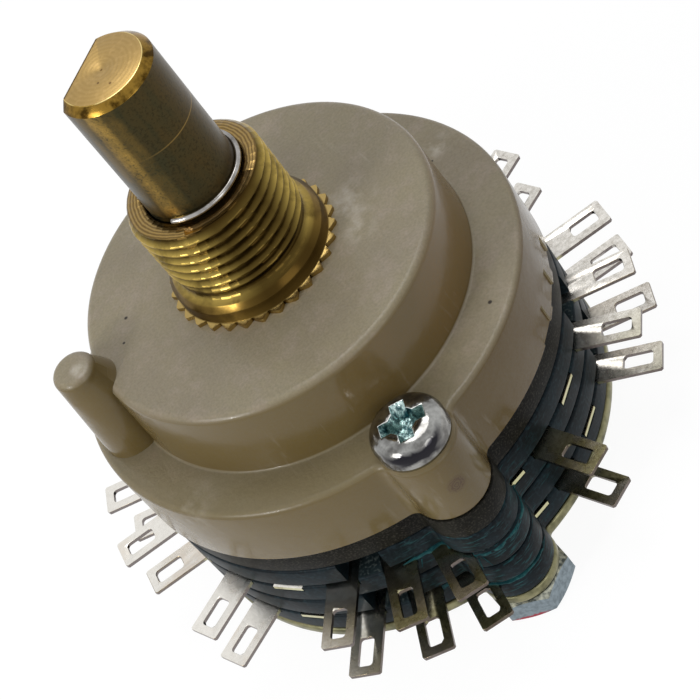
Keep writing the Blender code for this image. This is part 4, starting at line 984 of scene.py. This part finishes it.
def makeNuts():
    low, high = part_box("nut_front")
    corner = screw["nutFlat"] / math.cos(math.radians(30))
    hexagon = arcPoints((0, 0), corner, 30, 390, 6)[:-1]
    chamfer = screw["nutChamfer"]
    worn = [(0.0, high.z), (corner - 0.5 * mm, high.z), (corner + 0.05 * mm, high.z - chamfer),
            (corner + 0.05 * mm, low.z + chamfer), (corner - 0.5 * mm, low.z), (0.0, low.z)]
    hole = screw["radius"] + 0.1 * mm
    for name, node, side in (("nutFront", "nut_front", -1), ("nutRear", "nut_rear", 1)):
        shape = combine(outlineShape(hexagon, low.z, high.z), [turnedShape(worn, 72)], "INTERSECT")
        shape = combine(shape, [roundHole(hole, 0, 0, low.z, high.z)], "DIFFERENCE")
        makePiece(name, moved(shape, (0, side * screwY, 0)), "fixed", [finish["nut"]], [node], 20)


makeScrews()
makeNuts()
print("screws and nuts made")


# plates and wafers

stack = {
    "indexRadius": 15.27 * mm, "backRadius": 15.37 * mm, "waferRadius": 15.32 * mm, "ear": 2.7 * mm,
    "cornerFillet": 0.35 * mm, "rounding": 0.22 * mm, "steps": 140,
    "screwHole": 1.35 * mm, "spindleHole": 3.1 * mm, "pilotHole": 2.0 * mm, "frontHole": 3.3 * mm,
    "hubHole": 5.1 * mm, "chamber": 12.7 * mm, "floor": 0.6 * mm,
    "windowDepth": 1.8 * mm, "windowHalfAngle": 5.6, "windowOffset": -7.5,
    "commonAngle": -22.0, "grooveDrop": 0.5 * mm, "grooveHalf": 1.15 * mm, "recessOuter": 12.0 * mm,
    "recessInner": 6.6 * mm, "lugReach": 19.7 * mm,
    # grooves this close to a screw move away from it, in degrees
    "besideScrew": 15.0, "screwShift": 2.7,
}


def discBlank(low, high, radius, hole, rounding, segments):
    # a disc with its two ears, and the cutters of its screw holes and its bore
    outline = bossedOutline(stack[radius], stack["ear"], stack["cornerFillet"], stack["steps"])
    shape = outlineShape(outline, low, high, rounding, rounding, segments)
    cutters = [roundHole(stack["screwHole"], 0, side * screwY, low, high) for side in (-1, 1)]
    return shape, cutters + [roundHole(stack[hole], 0, 0, low, high, 64)]


def makePlates():
    for name, node, radius, hole, rounding, slot, material in (
            ("indexBoard", "index_plate", "indexRadius", "spindleHole", 0.06 * mm, "dark_plate", "board"),
            ("backDisc", "back_plate", "backRadius", "pilotHole", 0.22 * mm, "nickel_plate", "backPlate")):
        low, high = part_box(node)
        shape, tools = discBlank(low.z, high.z, radius, hole, rounding, 3)
        makePiece(name, combine(shape, tools, "DIFFERENCE"), "fixed", [finish[material]], [node], 32)


def contactAngle(node):
    # the direction of a contact's lug, from the two corners of its tip
    spots = {(round(vert.co.x, 7), round(vert.co.y, 7)) for vert in frame["nodes"][node].data.vertices}
    reach = max(math.hypot(*spot) for spot in spots)
    tip = [spot for spot in spots if math.hypot(*spot) > reach - 0.01 * mm]
    return math.degrees(math.atan2(sum(y for x, y in tip), sum(x for x, y in tip)))


def makeWafer(letter):
    low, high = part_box("wafer_%s_front" % letter)
    shape, tools = discBlank(low.z, high.z, "waferRadius", "frontHole", stack["rounding"], 4)
    chamber, roof = stack["chamber"], high.z - stack["floor"]
    inner = [(0.0, roof), (chamber, roof), (chamber, low.z - mm), (0.0, low.z - mm)]
    tools.append(turnedShape(inner, 96))
    for section in range(4):
        centre = stack["commonAngle"] + 90 * section + stack["windowOffset"]
        half = stack["windowHalfAngle"]
        loop = arcPoints((0, 0), stack["waferRadius"] - stack["windowDepth"], centre - half, centre + half, 6)
        loop += arcPoints((0, 0), stack["waferRadius"] + 3 * mm, centre + half, centre - half, 6)
        tools.append(outlineShape(loop, low.z - mm, high.z + mm))
    makePiece("waferFront" + letter.upper(), combine(shape, tools, "DIFFERENCE"), "fixed",
              [finish["wafer"]], ["wafer_%s_front" % letter], 32)

    low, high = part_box("wafer_%s_back" % letter)
    shape, tools = discBlank(low.z, high.z, "waferRadius", "hubHole", stack["rounding"], 4)
    floorZ = high.z - stack["grooveDrop"]
    inside, outside, above = stack["recessInner"], stack["recessOuter"], high.z + mm
    tools.append(turnedShape([(inside, above), (outside, above), (outside, floorZ), (inside, floorZ)], 96))
    lugs = ["way_contact_%s%02d" % (letter, number) for number in range(1, 13)]
    ends = [(contactAngle(lug), stack["lugReach"]) for lug in lugs]
    for section in range(4):
        middle = contactAngle("common_contact_%s%d" % (letter, section + 1))
        for offset in (-30.0, 0.0, 30.0):
            angle = (middle + offset + 180.0) % 360.0 - 180.0
            for screwAngle in (-90.0, 90.0):
                if abs(angle - screwAngle) < stack["besideScrew"]:
                    angle += math.copysign(stack["screwShift"], angle - screwAngle)
            ends.append((angle, stack["waferRadius"] + 0.3 * mm))
    for angle, end in ends:
        half = stack["grooveHalf"]
        tools.append(boxShape((outside - 0.3 * mm, -half, floorZ), (end, half, above), angle))
    shape = combine(shape, tools, "DIFFERENCE")
    for face in shape.faces:
        if abs(face.normal.z) > 0.9 and face.calc_center_median().z > floorZ - 0.01 * mm:
            face.material_index = 1
    makePiece("waferBack" + letter.upper(), shape, "fixed",
              [finish["wafer"], finish["waferFloor"]], ["wafer_%s_back" % letter], 32)


makePlates()
for letter in "ab":
    makeWafer(letter)
print("plates and wafers made")


# flash left along the seams of the wafers, round the front screw

flash = {
    # letter: height above the front half's lower face, thickness, reach and span of the front ear in degrees
    "a": (-0.28 * mm, 0.2 * mm, 0.16 * mm, (-112.0, -79.0)),
    "b": (-0.1 * mm, 0.12 * mm, 0.08 * mm, (-98.0, -84.0)),
    "sway": 0.25 * mm, "floor": -0.05 * mm, "raggedScale": 1.5 / mm, "swayScale": 0.5 / mm,
    "whiskers": [((-1.75, -17.5, 7.9), (-1.95, -17.85, 7.2)), ((-1.5, -17.65, 7.9), (-1.35, -17.95, 7.05)),
                 ((1.2, -17.85, 8.0), (1.75, -17.9, 8.5)), ((-4.4, -14.75, 8.1), (-4.7, -14.95, 7.7))],
}


def makeFlash(letter):
    # a thin fin that follows the ear, and sinks into it where none is left
    offset, thick, reach, (start, end) = flash[letter]
    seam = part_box("wafer_%s_front" % letter)[0].z + offset
    outline = bossedOutline(stack["waferRadius"], stack["ear"], stack["cornerFillet"], 600)
    path = [Vector(point) for point in outline if start < math.degrees(math.atan2(point[1], point[0])) < end]
    loop = []
    for index in range(1, len(path) - 1):
        ahead = path[index + 1] - path[index - 1]
        outward = Vector((ahead.y, -ahead.x)).normalized()
        ragged = noise.noise(Vector((*(path[index] * flash["raggedScale"]), 3.1)))
        loop.append(path[index] + outward * max(flash["floor"], reach * (0.15 + 1.1 * ragged)))
    shape = outlineShape(loop, seam - thick / 2, seam + thick / 2, thick * 0.4, thick * 0.4, 2)
    for vert in shape.verts:
        vert.co.z += flash["sway"] * noise.noise(Vector((*(vert.co.xy * flash["swayScale"]), 7.3)))
    if letter == "a":
        for low, high in flash["whiskers"]:
            low, high = Vector(low) * mm, Vector(high) * mm
            whisker = bmesh.ops.create_cone(shape, cap_ends=True, segments=8, radius1=0.04 * mm,
                                            radius2=0.02 * mm, depth=(high - low).length)["verts"]
            turn = (high - low).to_track_quat("Z", "Y").to_matrix().to_4x4()
            bmesh.ops.transform(shape, matrix=Matrix.Translation((low + high) / 2) @ turn, verts=whisker)
    makePiece("seamFlash" + letter.upper(), shape, "fixed", [finish["flash"]])


for letter in "ab":
    makeFlash(letter)
print("seam flash made")


# contact strips

strip = {
    "eyeCorner": 0.24 * mm, "edge": 0.045 * mm, "lugFrom": 16.5 * mm, "eyeEnd": 19.2 * mm,
    # share of the solid's thickness that is kept
    "thickness": 0.7,
    # the tip's corners in the solid and here: reach, half width, corner radius
    "tip": 19.7 * mm, "half": 1.1 * mm, "solidCorner": 0.35 * mm, "corner": 0.12 * mm,
}


def makeContact(node, name):
    # the CAD strip, thinner, with nearly square tips, round corners in the eye and edges as a press leaves them
    shape = bmesh.new()
    shape.from_mesh(frame["nodes"][node].data)
    bmesh.ops.remove_doubles(shape, verts=shape.verts, dist=10 * touching)
    bmesh.ops.dissolve_limit(shape, angle_limit=math.radians(1), verts=shape.verts, edges=shape.edges)
    corners = [edge for edge in shape.edges
               if len(edge.link_faces) == 2 and edge.calc_face_angle(0.0) > math.radians(30)
               and all(strip["lugFrom"] < vert.co.xy.length < strip["eyeEnd"] for vert in edge.verts)
               and (edge.verts[0].co.xy - edge.verts[1].co.xy).length < 10 * touching]
    bevelEdges(shape, corners, strip["eyeCorner"], 4)
    along = Vector(heading(contactAngle(node))).xy
    across = Vector((-along.y, along.x))
    middle = sum(vert.co.z for vert in shape.verts) / len(shape.verts)
    oldCentre = Vector((strip["tip"] - strip["solidCorner"], strip["half"] - strip["solidCorner"]))
    newCentre = Vector((strip["tip"] - strip["corner"], strip["half"] - strip["corner"]))
    for vert in shape.verts:
        x, y = vert.co.xy.dot(along), vert.co.xy.dot(across)
        spoke = Vector((x, abs(y))) - oldCentre
        if min(spoke) > -10 * touching:
            spot = newCentre + spoke * (strip["corner"] / strip["solidCorner"])
            vert.co.xy = along * spot.x + across * math.copysign(spot.y, y)
        vert.co.z = middle + (vert.co.z - middle) * strip["thickness"]
    softenSharp(shape, strip["edge"], 1, 60,
                lambda edge: (edge.verts[0].co.xy - edge.verts[1].co.xy).length > 10 * touching, 1)
    makePiece(name, shape, "fixed", [finish["lug"], finish["lugEdge"]], [node], 32)


for letter in "ab":
    for number in range(1, 13):
        makeContact("way_contact_%s%02d" % (letter, number), "wayLug%s%02d" % (letter.upper(), number))
    for number in range(1, 5):
        makeContact("common_contact_%s%d" % (letter, number), "commonLug%s%d" % (letter.upper(), number))
print("contact strips pressed")


# inner pieces keep their solids and take a finish

innerFinishes = {
    "index_rotor": "acetal", "rotor_a": "acetal", "rotor_b": "acetal", "stop_ring": "stopRing",
    "detent_spring_right": "ring", "detent_spring_left": "ring",
}
innerFinishes.update({"wiper_%s%d" % (letter, number): "wiper" for letter in "ab" for number in range(1, 5)})
for node, material in innerFinishes.items():
    mesh = frame["nodes"][node].data
    mesh.materials.clear()
    mesh.materials.append(finish[material])
print("inner pieces finished")
